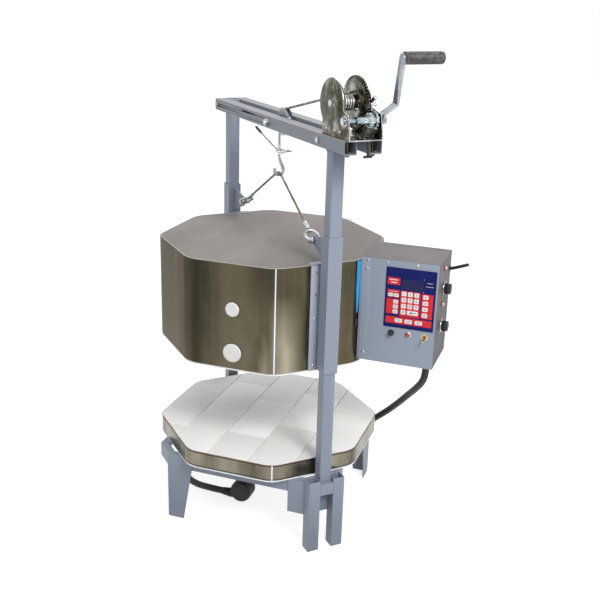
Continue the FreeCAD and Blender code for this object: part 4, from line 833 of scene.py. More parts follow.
def seam_strip(piece, circumradius, low, high):
    """The end of the sheet, lapped over its start beside the front bend."""
    angle = -3 * HALF_FLAT
    centre = level_way(angle) * (circumradius - 0.7) + POINTS_UP * (low + high) / 2
    piece.slab(centre, Vector((1.5, 3.4, high - low)), 0.4, 2, Matrix.Rotation(angle, 4, "Z"), 1)


def make_floor():
    """The pan's folded band, its pale lip below and the bricks in it."""
    band = Piece()
    bottom = DECK_HEIGHT - 50
    octagon_wall(band, DECK_RADIUS, bottom + 4, DECK_HEIGHT - 1.6, DECK_BEND, 1.2, 12)
    seam_strip(band, DECK_RADIUS - 3.4, bottom + 4, DECK_HEIGHT - 1.8)
    band.done("floor_band_skin", "stand", [BAND_STEEL, SEAM], ("floor_band",))
    pan = Piece()
    solid_octagon(pan, DECK_FLAT - 0.2, DECK_BEND, bottom, bottom + 4.2)
    pan.done("floor_pan_lip", "stand", LIP)
    make_floor_bricks()


def support(flat, bend, angle):
    """How far out the rounded octagon reaches in one direction."""
    side = round(angle / (2 * HALF_FLAT))
    if abs(angle - side * 2 * HALF_FLAT) < 1e-6:
        return flat
    corner_angle = (math.floor(angle / (2 * HALF_FLAT)) + 0.5) * 2 * HALF_FLAT
    return corner_of(flat - bend) * math.cos(angle - corner_angle) + bend


def trim_to_octagon(piece, verts, flat, bend):
    """Slice what lies outside the rounded octagon, in six directions a side, and close each cut."""
    for step in range(48):
        angle = step / 6 * 2 * HALF_FLAT
        out = level_way(angle)
        reach = support(flat, bend, angle)
        verts = [vert for vert in verts if vert.is_valid]
        if not verts or max(vert.co.dot(out) for vert in verts) < reach:
            continue
        known = set(piece.mesh.verts) - set(verts)
        geometry = verts + piece.edges_of(verts) + piece.faces_of(verts)
        cut = bmesh.ops.bisect_plane(piece.mesh, geom=geometry, plane_co=out * reach, plane_no=out,
                                     clear_outer=True, dist=1e-4)["geom_cut"]
        rim = [item for item in cut if isinstance(item, bmesh.types.BMEdge) and item.is_valid]
        bmesh.ops.holes_fill(piece.mesh, edges=rim, sides=0)
        verts = [vert for vert in piece.mesh.verts if vert not in known]
    return verts


def solid_octagon(piece, flat, bend, low, high, bevel=0.0):
    verts = piece.block((-flat - 20, -flat - 20, low), (flat + 20, flat + 20, high), 0)
    verts = trim_to_octagon(piece, verts, flat, bend)
    bmesh.ops.recalc_face_normals(piece.mesh, faces=piece.faces_of(verts))
    piece.mesh.normal_update()
    piece.ease(piece.sharp_edges(verts, 60), bevel, 3)


# The floor's rows of bricks: where the cross joint of each row lies, from left to right

BRICK_PITCH = 116.3
BRICK_LONG = 230.6
JOINT_HALF = 1.3
ROW_SHIFT = 50.3
CROSS_JOINTS = (62.0, -57.0, 79.0, -61.0, 81.0)
PALE_BRICK = (2, 79.0 - BRICK_LONG)


def make_floor_bricks():
    """Five rows of bricks trimmed to the pan, each with its own tone and height."""
    piece = Piece()
    tone = piece.mesh.verts.layers.float.new("tone")
    shade = random.Random(4)
    flat = DECK_FLAT - 2.2
    for row, joint in enumerate(CROSS_JOINTS):
        left = ROW_SHIFT + (row - 3) * BRICK_PITCH
        right = left + BRICK_PITCH
        if row == 0:
            left = -flat - 5
        if row == len(CROSS_JOINTS) - 1:
            right = flat + 5
        for step in range(-3, 4):
            low = joint + step * BRICK_LONG
            if low > flat or low + BRICK_LONG < -flat:
                continue
            verts = piece.block((left + JOINT_HALF, low + JOINT_HALF, DECK_HEIGHT - 48.4),
                                (right - JOINT_HALF, low + BRICK_LONG - JOINT_HALF,
                                 DECK_HEIGHT - shade.random() * 0.3), 1.2, 2)
            verts = trim_to_octagon(piece, verts, flat, DECK_BEND - 2)
            pale = (row, low) == PALE_BRICK
            lift = 0.95 if pale else shade.uniform(0.0, 0.32)
            for vert in verts:
                vert[tone] = lift
    piece.done("floor_brick_rows", "stand", BRICK, ("floor_bricks",))


BELL_BEND = 66.0
PEEP_SIDE = 6
PEEP_PLUGS = (("upper", BELL_LOW + 164.4, 13.0), ("lower", BELL_LOW + 48.4, 19.0))
PEEP_GAP = 0.4
BRICK_THICK = 63.5
COURSE = (BELL_TALL - BRICK_THICK) / 2
GROOVES = (15.4, 85.4)
GROOVE_HALF = 6.0
GROOVE_DEEP = 12.0


def drill_peepholes(thing):
    """Cut both peepholes through a finished piece of the bell."""
    drill = Piece()
    for name, up, radius in PEEP_PLUGS:
        face = Vector((PEEP_SIDE, -BELL_FLAT, up))
        drill.rod(face - TO_BACK * 20, face + TO_BACK * 90, radius + PEEP_GAP, sides=64, bevel=0)
    mesh = bpy.data.meshes.new("drill")
    drill.mesh.transform(KILN)
    drill.mesh.to_mesh(mesh)
    drill.mesh.free()
    cutter = put_in_scene("drill", mesh)
    cut = thing.modifiers.new("peepholes", "BOOLEAN")
    cut.operation = "DIFFERENCE"
    cut.solver = "EXACT"
    cut.object = cutter
    whole = thing.data
    seen = bpy.context.evaluated_depsgraph_get()
    thing.data = bpy.data.meshes.new_from_object(thing.evaluated_get(seen))
    thing.modifiers.clear()
    bpy.data.objects.remove(cutter)
    bpy.data.meshes.remove(mesh)
    bpy.data.meshes.remove(whole)


def make_walls():
    """Two courses of brick with the grooves for the elements, ring upon ring."""
    piece = Piece()
    outer = corner_of(BELL_FLAT - 2.0)
    for course in range(2):
        low = BELL_LOW + course * COURSE
        marks = [0.4 if course == 0 else 0.0]
        for groove in GROOVES:
            marks += [groove - GROOVE_HALF, groove + GROOVE_HALF]
        marks.append(COURSE)
        for number, (start, end) in enumerate(zip(marks, marks[1:])):
            thick = BRICK_THICK - 2 - (GROOVE_DEEP if number % 2 else 0)
            octagon_wall(piece, outer, low + start, low + end, BELL_BEND - 1, thick, 8)
    drill_peepholes(piece.done("wall_courses", "bell", WALL_BRICK, ("wall_bricks",)))


def make_bell():
    """The folded jacket, the pale brick edges above and below it, the walls and the roof."""
    skin = Piece()
    octagon_wall(skin, BELL_RADIUS, BELL_LOW + 5.2, BELL_TOP - 1.5, BELL_BEND, 1.2, 12)
    seam_strip(skin, BELL_RADIUS - 5.3, BELL_LOW + 5.2, BELL_TOP - 1.5)
    drill_peepholes(skin.done("bell_skin", "bell", [STEEL, SEAM], ("jacket",)))
    lip = Piece()
    octagon_wall(lip, corner_of(BELL_FLAT - 1.6), BELL_LOW, BELL_LOW + 7, BELL_BEND - 1, 14, 10)
    lip.done("bell_brick_lip", "bell", LIP)
    make_walls()
    roof = Piece()
    solid_octagon(roof, BELL_FLAT - 1.8, BELL_BEND - 2, BELL_TOP - 63, BELL_TOP - 0.8, 2.0)
    roof.done("roof_slab", "bell", LID, ("roof_bricks",))
    edge = Piece()
    octagon_wall(edge, corner_of(BELL_FLAT - 1.4), BELL_TOP - 4, BELL_TOP - 0.6, BELL_BEND - 1, 3.4, 12)
    edge.done("roof_pale_rim", "bell", RIM)


make_floor()
make_bell()


# Hoist: the cable over the sheave, the winch on the beam and its crank

WINCH_REAR = 335.0
WINCH_FRONT = 465.0
WINCH_LEFT = -44.0
WINCH_RIGHT = 41.0
PLATE = 3.0
CABLE = 3.175
DRUM = Vector((376.0, 0, BEAM_TOP + 72.5))
GEAR_REACH = 72.0
GEAR_ANGLE = math.radians(-25.5)
PINION = DRUM + upright_way(GEAR_ANGLE) * GEAR_REACH
SHEAVE = Vector((39.0, 0, BEAM_TOP - TUBE_SIDE / 2))
SHEAVE_PITCH = 31.0
DRUM_LEFT = WINCH_LEFT + 6
DRUM_RIGHT = DRUM_LEFT + 52
BARREL = 12.0
WOUND = 18.0
FLANGE = 53.0
CRANK_RADIUS = 136.0
CRANK_LEAN = math.radians(9.7)
GRIP_START = WINCH_RIGHT + 40.5


def arc(centre, radius, first, last, steps=24):
    """Points of an arc in the frame's upright plane, angles in radians."""
    for step in range(steps + 1):
        yield centre + upright_way(first + (last - first) * step / steps) * radius


def make_cable_run():
    """Over the sheave and along to the top of the drum."""
    wound = WOUND + CABLE + 0.2
    line = DRUM - SHEAVE
    angle = math.atan2(line.z, line.x) + math.pi / 2 - math.asin((SHEAVE_PITCH - wound) / line.length)
    over = list(arc(SHEAVE, SHEAVE_PITCH, math.pi, angle, 20))
    joins = DRUM + upright_way(angle) * wound
    piece = Piece(LIFT)
    rope(piece, evenly(over + [joins], 2.2), CABLE)
    piece.rod(over[-1], joins, CABLE * CORE_SHARE, sides=10, bevel=0)
    piece.done("hoist_rope", "stand", ROPE, ("cable_run",), 70)


def make_wound_rope():
    """One layer of turns laid side by side on the barrel."""
    strand = (WOUND - BARREL) / 2
    low, high = DRUM_LEFT + 2 + strand, DRUM_RIGHT - 2 - strand
    turns = (high - low) / (2 * strand + 0.15)
    steps = int(turns * 40)
    centre = Vector((DRUM.x, 0, DRUM.z))
    line = []
    for step in range(steps + 1):
        out = upright_way(math.tau * turns * step / steps) * (BARREL + strand)
        line.append(centre + out + TO_BACK * (low + (high - low) * step / steps))
    piece = Piece(LIFT)
    piece.bar(line, strand, 10)
    twist = [point + (point - centre).normalized() * strand * 0.72 for point in line]
    across = TO_BACK * strand * CORE_SHARE
    for start in range(0, len(twist) - 3, 4):
        piece.rod(twist[start] - across, twist[start + 2] + across, 0.75, sides=6, bevel=0)
    piece.done("wound_rope", "drum", HIGHLIT_ROPE, ("wound_cable",), 70)


def make_drum():
    """The spool: a barrel between two flanges with rolled rims and a pressed ring."""
    def flange_profile(side):
        return [(BARREL, 1.0 * side), (24, 1.0 * side), (28, 2.6 * side), (40, 2.6 * side), (44, 1.0 * side),
                (FLANGE - 3, 1.0 * side), (FLANGE - 1, 0.4 * side), (FLANGE, -0.2 * side)]
    piece = Piece(LIFT)
    for face, side in ((DRUM_LEFT, 1), (DRUM_RIGHT, -1)):
        centre = Vector((DRUM.x, face + side, DRUM.z))
        inward = [(out, along + side) for out, along in flange_profile(side)]
        outward = [(out, along - side) for out, along in reversed(flange_profile(side))]
        piece.lathe([(5.1, inward[0][1])] + inward + outward + [(5.1, outward[-1][1]), (5.1, inward[0][1])],
                    centre - TO_BACK * side, TO_BACK, 96)
    piece.lathe([(BARREL, 0), (BARREL, DRUM_RIGHT - DRUM_LEFT)], Vector((DRUM.x, DRUM_LEFT, DRUM.z)),
                TO_BACK, 48)
    piece.done("drum_spool", "drum", DRUM_ZINC, ("drum",), 50)


def cheek_outline(near, head):
    """A side plate's edge: a round head over a foot that runs out under the crank's shaft."""
    def corner(x, z):
        return Vector((x, near, z))

    def meets(start, end):
        """Where the foot's edge runs into the round head."""
        hits = intersect_line_sphere_2d(start.xz, end.xz, DRUM.xz, head, True)
        return math.atan2(*reversed([number for hit in hits if hit for number in (hit - DRUM.xz)][:2]))
    shoulder = corner(PINION.x + 14, PINION.z + 14)
    heel = corner(WINCH_REAR, BEAM_TOP + 24)
    first = meets(shoulder, corner(DRUM.x + head * 0.5, DRUM.z))
    last = meets(heel, corner(min(DRUM.x - head * 0.75, WINCH_REAR + 15), DRUM.z)) % math.tau
    round_head = [Vector((point.x, near, point.z)) for point in arc(DRUM, head, first, last, 40)]
    return [corner(WINCH_REAR, BEAM_TOP), corner(WINCH_FRONT, BEAM_TOP), corner(WINCH_FRONT, BEAM_TOP + 12),
            shoulder] + round_head + [heel]


def bright_edges(piece, verts):
    """All but the plate's two sides takes the second, brighter finish, so its edges show a bright rim."""
    for face in piece.faces_of(verts):
        face.normal_update()
        if abs(face.normal.y) < 0.9:
            face.material_index = 1


def make_winch():
    """Two side plates and the base between them, with bosses, a ring and rivets."""
    head = FLANGE + 3
    frame_piece = Piece(LIFT)
    for near, size in ((WINCH_LEFT, head), (WINCH_RIGHT - PLATE, head * 0.62)):
        verts = frame_piece.plate(cheek_outline(near, size), (0, PLATE, 0), 0.9, 3)
        bright_edges(frame_piece, verts)
    frame_piece.block((WINCH_REAR, WINCH_LEFT + PLATE - 0.5, BEAM_TOP),
                      (WINCH_FRONT, WINCH_RIGHT - PLATE + 0.5, BEAM_TOP + PLATE), 0.8, index=1)
    for near, out in ((WINCH_LEFT, -1), (WINCH_RIGHT, 1)):
        frame_piece.lathe([(0, 3.2), (7, 3.2), (11, 2.6), (15, 1.2), (19, 0.15), (21, -0.3)],
                          Vector((DRUM.x, near, DRUM.z)), (0, out, 0), 48)
        frame_piece.lathe([(0, 1.6), (8, 1.6), (11, 0.6), (12.5, -0.3)],
                          Vector((PINION.x, near, PINION.z)), (0, out, 0), 36, 1)
    frame_piece.lathe([(10, 0.2), (11.2, 1.5), (13.2, 1.5), (14.4, 0.2)],
                      Vector((WINCH_FRONT - 26, 12, BEAM_TOP + PLATE)), (0, 0, 1), 32, 1)
    for place, wide in ((396.0, 3.0), (420.0, 2.2), (356.0, 2.4)):
        frame_piece.lathe([(0, 0.9), (wide, 0.7), (wide + 1, -0.2)],
                          Vector((place, WINCH_LEFT, BEAM_TOP + 16)), -TO_BACK, 20, 1)
    frame_piece.done("winch_cheeks", "stand", [OLIVE_ZINC, ZINC], ("winch_frame",), 42)
    make_winch_rods()


def make_winch_rods():
    """The drum's axle with its nuts, the pawl's pin and the bright bar between the plates."""
    piece = Piece(LIFT)
    pivot = PINION + Vector((-18, 0, 32))

    def across(centre, radius, left, right, **more):
        piece.rod((centre.x, left, centre.z), (centre.x, right, centre.z), radius, **more)
    across(DRUM, 5, WINCH_LEFT - 5, WINCH_RIGHT + 5)
    across(DRUM, 8.3, WINCH_LEFT - 4.4, WINCH_LEFT, sides=6, bevel=0.7)
    across(DRUM, 8.3, WINCH_RIGHT, WINCH_RIGHT + 4, sides=6, bevel=0.7)
    across(pivot, 3, WINCH_RIGHT - PLATE - 13, WINCH_RIGHT + 3)
    across(pivot, 5, WINCH_RIGHT, WINCH_RIGHT + 2.4, sides=6, bevel=0.5)
    piece.done("winch_pins", "stand", CHROME, ("winch_rods",))


def make_grip():
    """Moulded grip: fine rings between plain ends, and a domed cap."""
    centre = PINION + Vector((math.sin(CRANK_LEAN), 0, math.cos(CRANK_LEAN))) * CRANK_RADIUS
    radius = 14.0
    profile = [(5.2, 0.4), (radius - 2, 0.4), (radius - 0.4, 1.2), (radius, 3), (radius, 8)]
    rings = 26
    step = 84.0 / rings
    for ring in range(rings):
        low = 8 + ring * step
        profile += [(radius - 0.55, low + 0.5), (radius - 0.55, low + 1.1), (radius, low + 1.7),
                    (radius, low + step)]
    profile += [(radius, 97), (radius - 0.6, 99.2), (radius - 2, 100), (5.2, 100), (5.2, 0.4)]
    piece = Piece(LIFT)
    piece.lathe(profile, Vector((centre.x, GRIP_START, centre.z)), TO_BACK, 56)
    piece.done("ribbed_grip", "grip", GRIP, ("crank_grip",), 50)


make_cable_run()
make_wound_rope()
make_drum()
make_winch()
make_grip()


# Bridle: clip and eye on the hoist cable, two legs, shackles at the sleeves

CABLE_X = 8.0
EYE_LOW = 942.0
EYE_HIGH = 989.0
CLIP_LOW = 996.0
CLIP_HIGH = 1014.0
LUG_EYE = Vector((228.0, 0, 819.0))
APEX = Vector((CABLE_X, 0, EYE_LOW + 3.5 + CABLE + 0.2))
SHACKLE = 17.5
BOLT_ASIDE = 6.4


def make_fall():
    """The stretch between sheave and clip, one fixed mesh that no body carries; on the kiln it lengthens as
    the bell goes down.
    """
    top = Vector((CABLE_X, 0, SHEAVE.z))
    low = Vector((CABLE_X, 0, CLIP_HIGH))
    piece = Piece(LIFT)
    rope(piece, evenly([low, top], 2.0), CABLE)
    piece.rod(low, top, CABLE * CORE_SHARE, sides=10, bevel=0)
    fall = piece.done("hoist_fall", None, HIGHLIT_ROPE, ("cable_drop",), 70)
    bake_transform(fall)


def pear(radius, low, high):
    """A pear-shaped loop in the frame's cross plane, round below and pointed above."""
    centre = low + radius
    lean = math.asin(radius / (high - centre))
    points = [Vector((CABLE_X, 0.01, high))]
    for step in range(41):
        angle = lean - (math.pi + 2 * lean) * step / 40
        points.append(Vector((CABLE_X, radius * math.cos(angle), centre + radius * math.sin(angle))))
    return points


def make_eye():
    """The cable's end turned round a thimble: strands outside, a bright gutter inside."""
    piece = Piece(LIFT)
    outer = evenly(pear(13.5, EYE_LOW, EYE_HIGH), 2.0)
    rope(piece, outer, 3.5, 6, 9.0)
    piece.bar(outer, 2.1, 8)
    inner = evenly(pear(9.8, EYE_LOW + 3.6, EYE_HIGH - 7), 2.0)
    piece.bar(inner, 2.3, 10, 1)
    piece.rod((CABLE_X, 0, EYE_HIGH - 5), (CABLE_X, 0, CLIP_LOW + 1), CABLE, sides=16, bevel=0)
    piece.done("cable_eye", "bell", [HIGHLIT_ROPE, CHROME], ("thimble",), 60)


def make_clip():
    """A saddle and a round U-bolt with two nuts, clamped on the cable."""
    piece = Piece(LIFT)
    middle = (CLIP_LOW + CLIP_HIGH) / 2
    piece.block((CABLE_X - 9, 2.2, CLIP_LOW + 2), (CABLE_X + 9, 9, CLIP_HIGH - 2), 2.4, 4)
    piece.lathe([(0, -8), (3.6, -8), (4.6, -7), (4.6, 7), (3.6, 8), (0, 8)], Vector((CABLE_X, 1.4, middle)),
                POINTS_UP, 24)
    for side in (-1, 1):
        leg = CABLE_X + side * BOLT_ASIDE
        piece.rod((leg, -2, middle), (leg, 32, middle), 2.5, sides=18, bevel=0.5)
        piece.rod((leg, 9.2, middle), (leg, 14.6, middle), 4.6, sides=6, bevel=0.5)
        for thread in range(9):
            at = 15.4 + thread * 1.8
            piece.rod((leg, at, middle), (leg, at + 0.8, middle), 2.75, sides=14, bevel=0.2)
    bend = [Vector((CABLE_X, -1.6, middle)) + level_way(-math.pi * step / 16) * BOLT_ASIDE
            for step in range(17)]
    piece.bar(bend, 2.5, 14)
    piece.done("rope_clip", "bell", CHROME, ("cable_clip",))


def make_tail():
    """The cable's spare end, tied off under the beam with a turn of tape."""
    piece = Piece(LIFT)
    start = Vector((CABLE_X - 9.1, 0, CLIP_HIGH - 6))
    bend = start + Vector((-20, 0, 0))
    end = Vector((-150, 0, CLIP_HIGH + 32))
    line = smooth_line([start, bend, end])
    line = line[:-1] + evenly([line[-2], line[-1]], 4)[1:]
    rope(piece, evenly(line, 2.4), 2.3, 5, 8.0)
    run = (end - bend).normalized()
    piece.lathe([(0, 0), (3.1, 0), (3.5, 1), (3.4, 14), (3.6, 15), (3.4, 34), (2.6, 37), (0, 37)],
                end - run * 37, run, 18, 1)
    stem = Vector((CABLE_X, 0, CLIP_LOW))
    piece.rod(stem - POINTS_UP * 5, stem, CABLE, sides=14, bevel=0)
    piece.done("spare_end", "bell", [HIGHLIT_ROPE, TAPE], ("cable_tail",), 70)


def make_leg(name, sign):
    """One leg of the bridle, pressed into a sleeve and turned round its shackle."""
    eye = Vector((sign * LUG_EYE.x, 0, LUG_EYE.z))
    along = (APEX - eye).normalized()
    end = eye + along * (2 * SHACKLE + 3.6)
    shoulder = APEX + Vector((sign * 8, 0, 0))
    piece = Piece(LIFT)
    straight = shoulder.lerp(end, 0.12)
    line = smooth_line([APEX, shoulder, straight]) + evenly([straight, end], 2.2)[1:]
    rope(piece, evenly(line, 2.2), CABLE)
    piece.bar(line, CABLE * CORE_SHARE, 8)
    piece.lathe([(0, 0), (3.6, 0), (5.2, 1.6), (5.4, 5), (5.0, 8), (5.4, 12), (5.0, 16), (5.4, 21), (4.4, 25),
                 (3.4, 26.5), (0, 26.5)], end + along * 3, along, 24, 1)
    piece.done(name + "_leg", "bell", [ROPE, CHROME], ("bridle_" + name,), 60)


def make_shackles():
    """A bow through each leg's eye and a bolt, with collars and nut, through its lug."""
    piece = Piece(LIFT)
    for sign in (1, -1):
        eye = Vector((sign * LUG_EYE.x, 0, LUG_EYE.z))
        along = (APEX - eye).normalized()
        centre = eye + along * SHACKLE
        normal = along.cross(TO_BACK)
        ring = [centre + (along * math.cos(angle) + TO_BACK * math.sin(angle)) * SHACKLE
                for angle in (math.tau * step / 48 for step in range(48))]
        piece.bar(ring, 3.5, 14, closed=True)
        for near, far, radius, sides, bevel in ((-4.2, -9.5, 7.6, 32, 1.4), (4.2, 9.5, 7.6, 32, 1.4),
                                                (-15, 15, 3.9, 20, 0.6), (9.6, 15.5, 6.6, 6, 0.7),
                                                (-14.5, -9.6, 7.2, 6, 0.7)):
            piece.rod(eye + TO_BACK * near, eye + TO_BACK * far, radius, sides=sides, bevel=bevel)
        crown = centre + along * 15
        piece.rod(crown - normal * 4, crown + normal * 4, 3.4, sides=16, bevel=0.8)
    piece.done("bow_shackles", "bell", CHROME, ("shackles",))


def make_roof_tabs():
    """The sleeves' angles end in a narrow flange that lies on the roof's edge."""
    piece = Piece(LIFT)
    for low, high in ((264, 286.6), (-286.6, -264)):
        piece.block((low, -34, BELL_TOP - 0.9), (high, 34, BELL_TOP + 1.0), 0.7)
    piece.done("roof_tabs", "bell", PAINT)


make_fall()
make_eye()
make_clip()
make_tail()
make_leg("front", 1)
make_leg("rear", -1)
make_shackles()
make_roof_tabs()


# Control box

CASE_LEFT = BELL_FLAT + 0.6
CASE_RIGHT = CASE_LEFT + 195.0
CASE_FRONT = -115.0
CASE_BOTTOM = BELL_LOW + 13.4
CASE_TOP = CASE_BOTTOM + 276.0
PAD_WIDE = 128.0
PAD_TALL = 158.0
PAD_LEFT = CASE_RIGHT - 5 - PAD_WIDE
PAD_BOTTOM = CASE_TOP - 17 - PAD_TALL
PAD_TOP = PAD_BOTTOM + PAD_TALL
PAD_FACE = CASE_FRONT - 1.2
ROW_HEIGHT = PAD_BOTTOM - 16
KNOBS = (("lower", CASE_TOP - 182), ("upper", CASE_TOP - 81))
KNOB_SPOT = -35
PILOT_HEIGHTS = (CASE_TOP - 120, CASE_TOP - 23)
RIVET_HEIGHTS = (18, 72, 144, 206, 264)
MARK = 3
PALE = 5

# Printed blocks on the overlay: left, right, top and bottom, from its upper left corner
START_BLOCK = (5, 37, 26, 45)
PAIR_BLOCK = (6, 37, 58, 78)
TRIO_BLOCK = (5, 37, 82, 122)
NUMBER_BLOCK = (40, 91, 58, 126)
SIDE_BLOCK = (94, 123, 60, 125)
LOW_BLOCK = (5, 123, 129, 147)
DISPLAY = (42, 98, 28, 54)


def pad_spot(across, down, out=0.0):
    """A place on the overlay, across from its left edge and down from its top."""
    return Vector((PAD_LEFT + across, PAD_FACE - out, PAD_TOP - down))


def rounded_panel(piece, left, right, top, bottom, out, thick, corner, index):
    """A flat panel with round corners that stands a little proud of the overlay."""
    outline = []
    corners = ((right - corner, top + corner, 0.0), (left + corner, top + corner, 0.25),
               (left + corner, bottom - corner, 0.5), (right - corner, bottom - corner, 0.75))
    for across, down, first in corners:
        for step in range(6):
            angle = math.tau * (first + 0.25 * step / 5)
            outline.append(pad_spot(across + corner * math.cos(angle), down - corner * math.sin(angle), out))
    piece.plate(outline, (0, -thick, 0), min(0.25, thick / 3), 1, index)


def front_spot(across):
    """A place in the row of controls under the keypad."""
    return Vector((PAD_LEFT + across, CASE_FRONT, ROW_HEIGHT))


def key(piece, across, down, wide, tall, *bars):
    """A raised key; each bar is a dash on it, as its distance below the middle and its width."""
    rounded_panel(piece, across - wide / 2, across + wide / 2, down - tall / 2, down + tall / 2,
                  0.2, 0.55, 2.2, 2)
    for below, long in bars:
        dash(piece, across, down + below, long)


def print_mark(piece, text, across, down, size):
    """A raised digit, as thin as print, on a key."""
    data = bpy.data.curves.new("mark", "FONT")
    data.body = text
    data.size = size
    data.align_x = "CENTER"
    data.align_y = "CENTER"
    data.extrude = 0.05
    upright = Matrix.Rotation(math.radians(90), 4, "X")

    def put_on_key(mesh):
        mesh.transform(Matrix.Translation(pad_spot(across, down, 0.78)) @ upright)
        piece.coloured(piece.added(lambda: piece.mesh.from_mesh(mesh)), MARK)
    with_mesh_of(data, put_on_key)


def dash(piece, across, down, wide, tall=0.9, out=0.72, index=MARK):
    """A printed bar on the overlay."""
    low = pad_spot(across - wide / 2, down + tall / 2, out)
    high = pad_spot(across + wide / 2, down - tall / 2, out + 0.12)
    piece.block((low.x, high.y, low.z), (high.x, low.y, high.z), 0.0, index=index)


def make_keypad():
    """The overlay: red blocks, the display's window, and keys with digits, dashes and an arrow."""
    piece = Piece()
    rounded_panel(piece, 0, PAD_WIDE, 0, PAD_TALL, -1.1, 1.1, 2.0, 0)
    for block in (START_BLOCK, PAIR_BLOCK, TRIO_BLOCK, NUMBER_BLOCK, SIDE_BLOCK, LOW_BLOCK):
        rounded_panel(piece, *block, 0.0, 0.2, 1.2, 1)
    rounded_panel(piece, *DISPLAY, 0.0, 0.15, 1.5, 4)
    numbers = iter("1234567890")
    for row, down in enumerate((66, 82, 98, 114)):
        for across in ((49, 65, 81) if row < 3 else (49,)):
            key(piece, across, down, 12, 12)
            print_mark(piece, next(numbers), across, down, 9.5)
    key(piece, 73, 114, 28, 11)
    dash(piece, 75, 114, 14, 1.6)
    for tilt in (-1, 1):
        for step in range(3):
            dash(piece, 66.5 + step * 1.6, 114 + tilt * step * 1.1, 2.0, 1.6)
    for across in (14.5, 29):
        key(piece, across, 72, 12.5, 9, (0, 7))
    dash(piece, 21.5, 62.5, 22, 2.0, 0.2, PALE)
    for number, down in enumerate((89, 102, 115)):
        key(piece, 28.5, down, 12.5, 10, (-1.3, 7), (1.6, 4.5 + number))
    for number, down in enumerate((68, 84, 100, 116)):
        key(piece, 104, down, 13.5, 11, (-1.4, 8), (1.6, 5 + number % 2 * 2))
    for across in (38.5, 64, 90):
        key(piece, across, 138, 19, 10, (-1.6, 12), (1.6, 8))
    dash(piece, 20, 32, 22, 2.4, 0.2, 2)
    dash(piece, 21, 39, 15, 2.4, 0.2, 2)
    for across, down, wide in ((112, 31, 14), (112, 40, 20), (97, 23, 2.2), (97, 56, 2.2)):
        dash(piece, across, down, wide, 1.6, 0.05, PALE)
    piece.done("keypad_overlay", "bell", [NAVY, RED_PRINT, WHITE, NAVY, WINDOW, PALE_RED],
               ("keypad",))


def screw_head(piece, place, out, radius, tall, slot=True):
    """A domed head on its seat, with a slot where it is a screw."""
    piece.lathe([(0, tall), (radius * 0.55, tall * 0.92), (radius * 0.9, tall * 0.5), (radius, 0),
                 (radius, -0.2)], place, out, 20)
    if slot:
        turn = POINTS_UP.rotation_difference(out).to_matrix().to_4x4()
        piece.slab(place + out * tall, Vector((radius * 1.3, radius * 0.28, 0.25)), 0.0, 1, turn, 1)


def make_angle_faces():
    """The angles' flanges run the jacket's full height, from its lip to the roof."""
    piece = Piece(LIFT)
    size = Vector((3.1, 24.6, BELL_TALL - 6))
    for sign in (1, -1):
        for side in (1, -1):
            middle = Vector((sign * (BELL_FLAT + 1.65), side * 23.3, (BELL_LOW + BELL_TOP) / 2 + 2))
            piece.slab(middle, size, 0.7)
    piece.done("angle_faces", "bell", LIT_FLANGE_PAINT)


def make_fasteners():
    """Pan-head screws on the box and round rivets down the sleeves' angles."""
    piece = Piece()
    for across in (12, 64, 140):
        screw_head(piece, Vector((CASE_LEFT + across, CASE_FRONT, CASE_TOP - 7)), -TO_BACK, 3.5, 1.9)
    for up in (CASE_BOTTOM + 22, CASE_TOP - 28):
        screw_head(piece, Vector((CASE_LEFT + 12, CASE_FRONT - 0.9, up)), -TO_BACK, 3.5, 1.8)
    for across in (88, 104, 118, 158, 172, 184):
        seat = Vector((CASE_LEFT + across, CASE_FRONT, CASE_TOP - 6.2))
        screw_head(piece, seat, -TO_BACK, 1.7, 1.0, False)
    to_frame = KILN.inverted() @ LIFT
    for sign in (1, -1):
        out = (to_frame.to_3x3() @ (TO_RIGHT * sign)).normalized()
        for up in RIVET_HEIGHTS:
            for across in (-23.1, 23.1):
                seat = to_frame @ Vector((sign * (BELL_FLAT + 3.2), across, BELL_LOW + up))
                screw_head(piece, seat, out, 3.6, 2.0, False)
    piece.done("screws_and_rivets", "bell", [ZINC, BLACK], ("bell_fasteners",))


def make_panel_fold():
    """The panel's left edge turns back to the jacket over a soft bend."""
    piece = Piece()
    left = CASE_LEFT
    piece.block((left - 4.6, CASE_FRONT - 0.9, CASE_BOTTOM + 1), (left + 21, CASE_FRONT + 0.4, CASE_TOP - 2),
                0.6, 3)
    for across, back, radius, sides, bevel in ((2.2, 1.4, 3.0, 24, 0.4), (21.5, 0.2, 0.8, 12, 0.2)):
        piece.rod((left + across, CASE_FRONT + back, CASE_BOTTOM + 1.4),
                  (left + across, CASE_FRONT + back, CASE_TOP - 2.4), radius, sides=sides, bevel=bevel)
    piece.done("panel_fold", "bell", PANEL_PAINT)
    rim = Piece()
    rim.block((left + 2, CASE_FRONT + 2, CASE_TOP - 0.3),
              (CASE_RIGHT - 1, CASE_FRONT + 14, CASE_TOP + 0.5), 0.35)
    rim.block((CASE_RIGHT - 0.5, CASE_FRONT + 2, CASE_BOTTOM + 2),
              (CASE_RIGHT + 0.45, CASE_FRONT + 14, CASE_TOP - 1), 0.35)
    rim.done("case_return", "bell", CASE_PAINT)


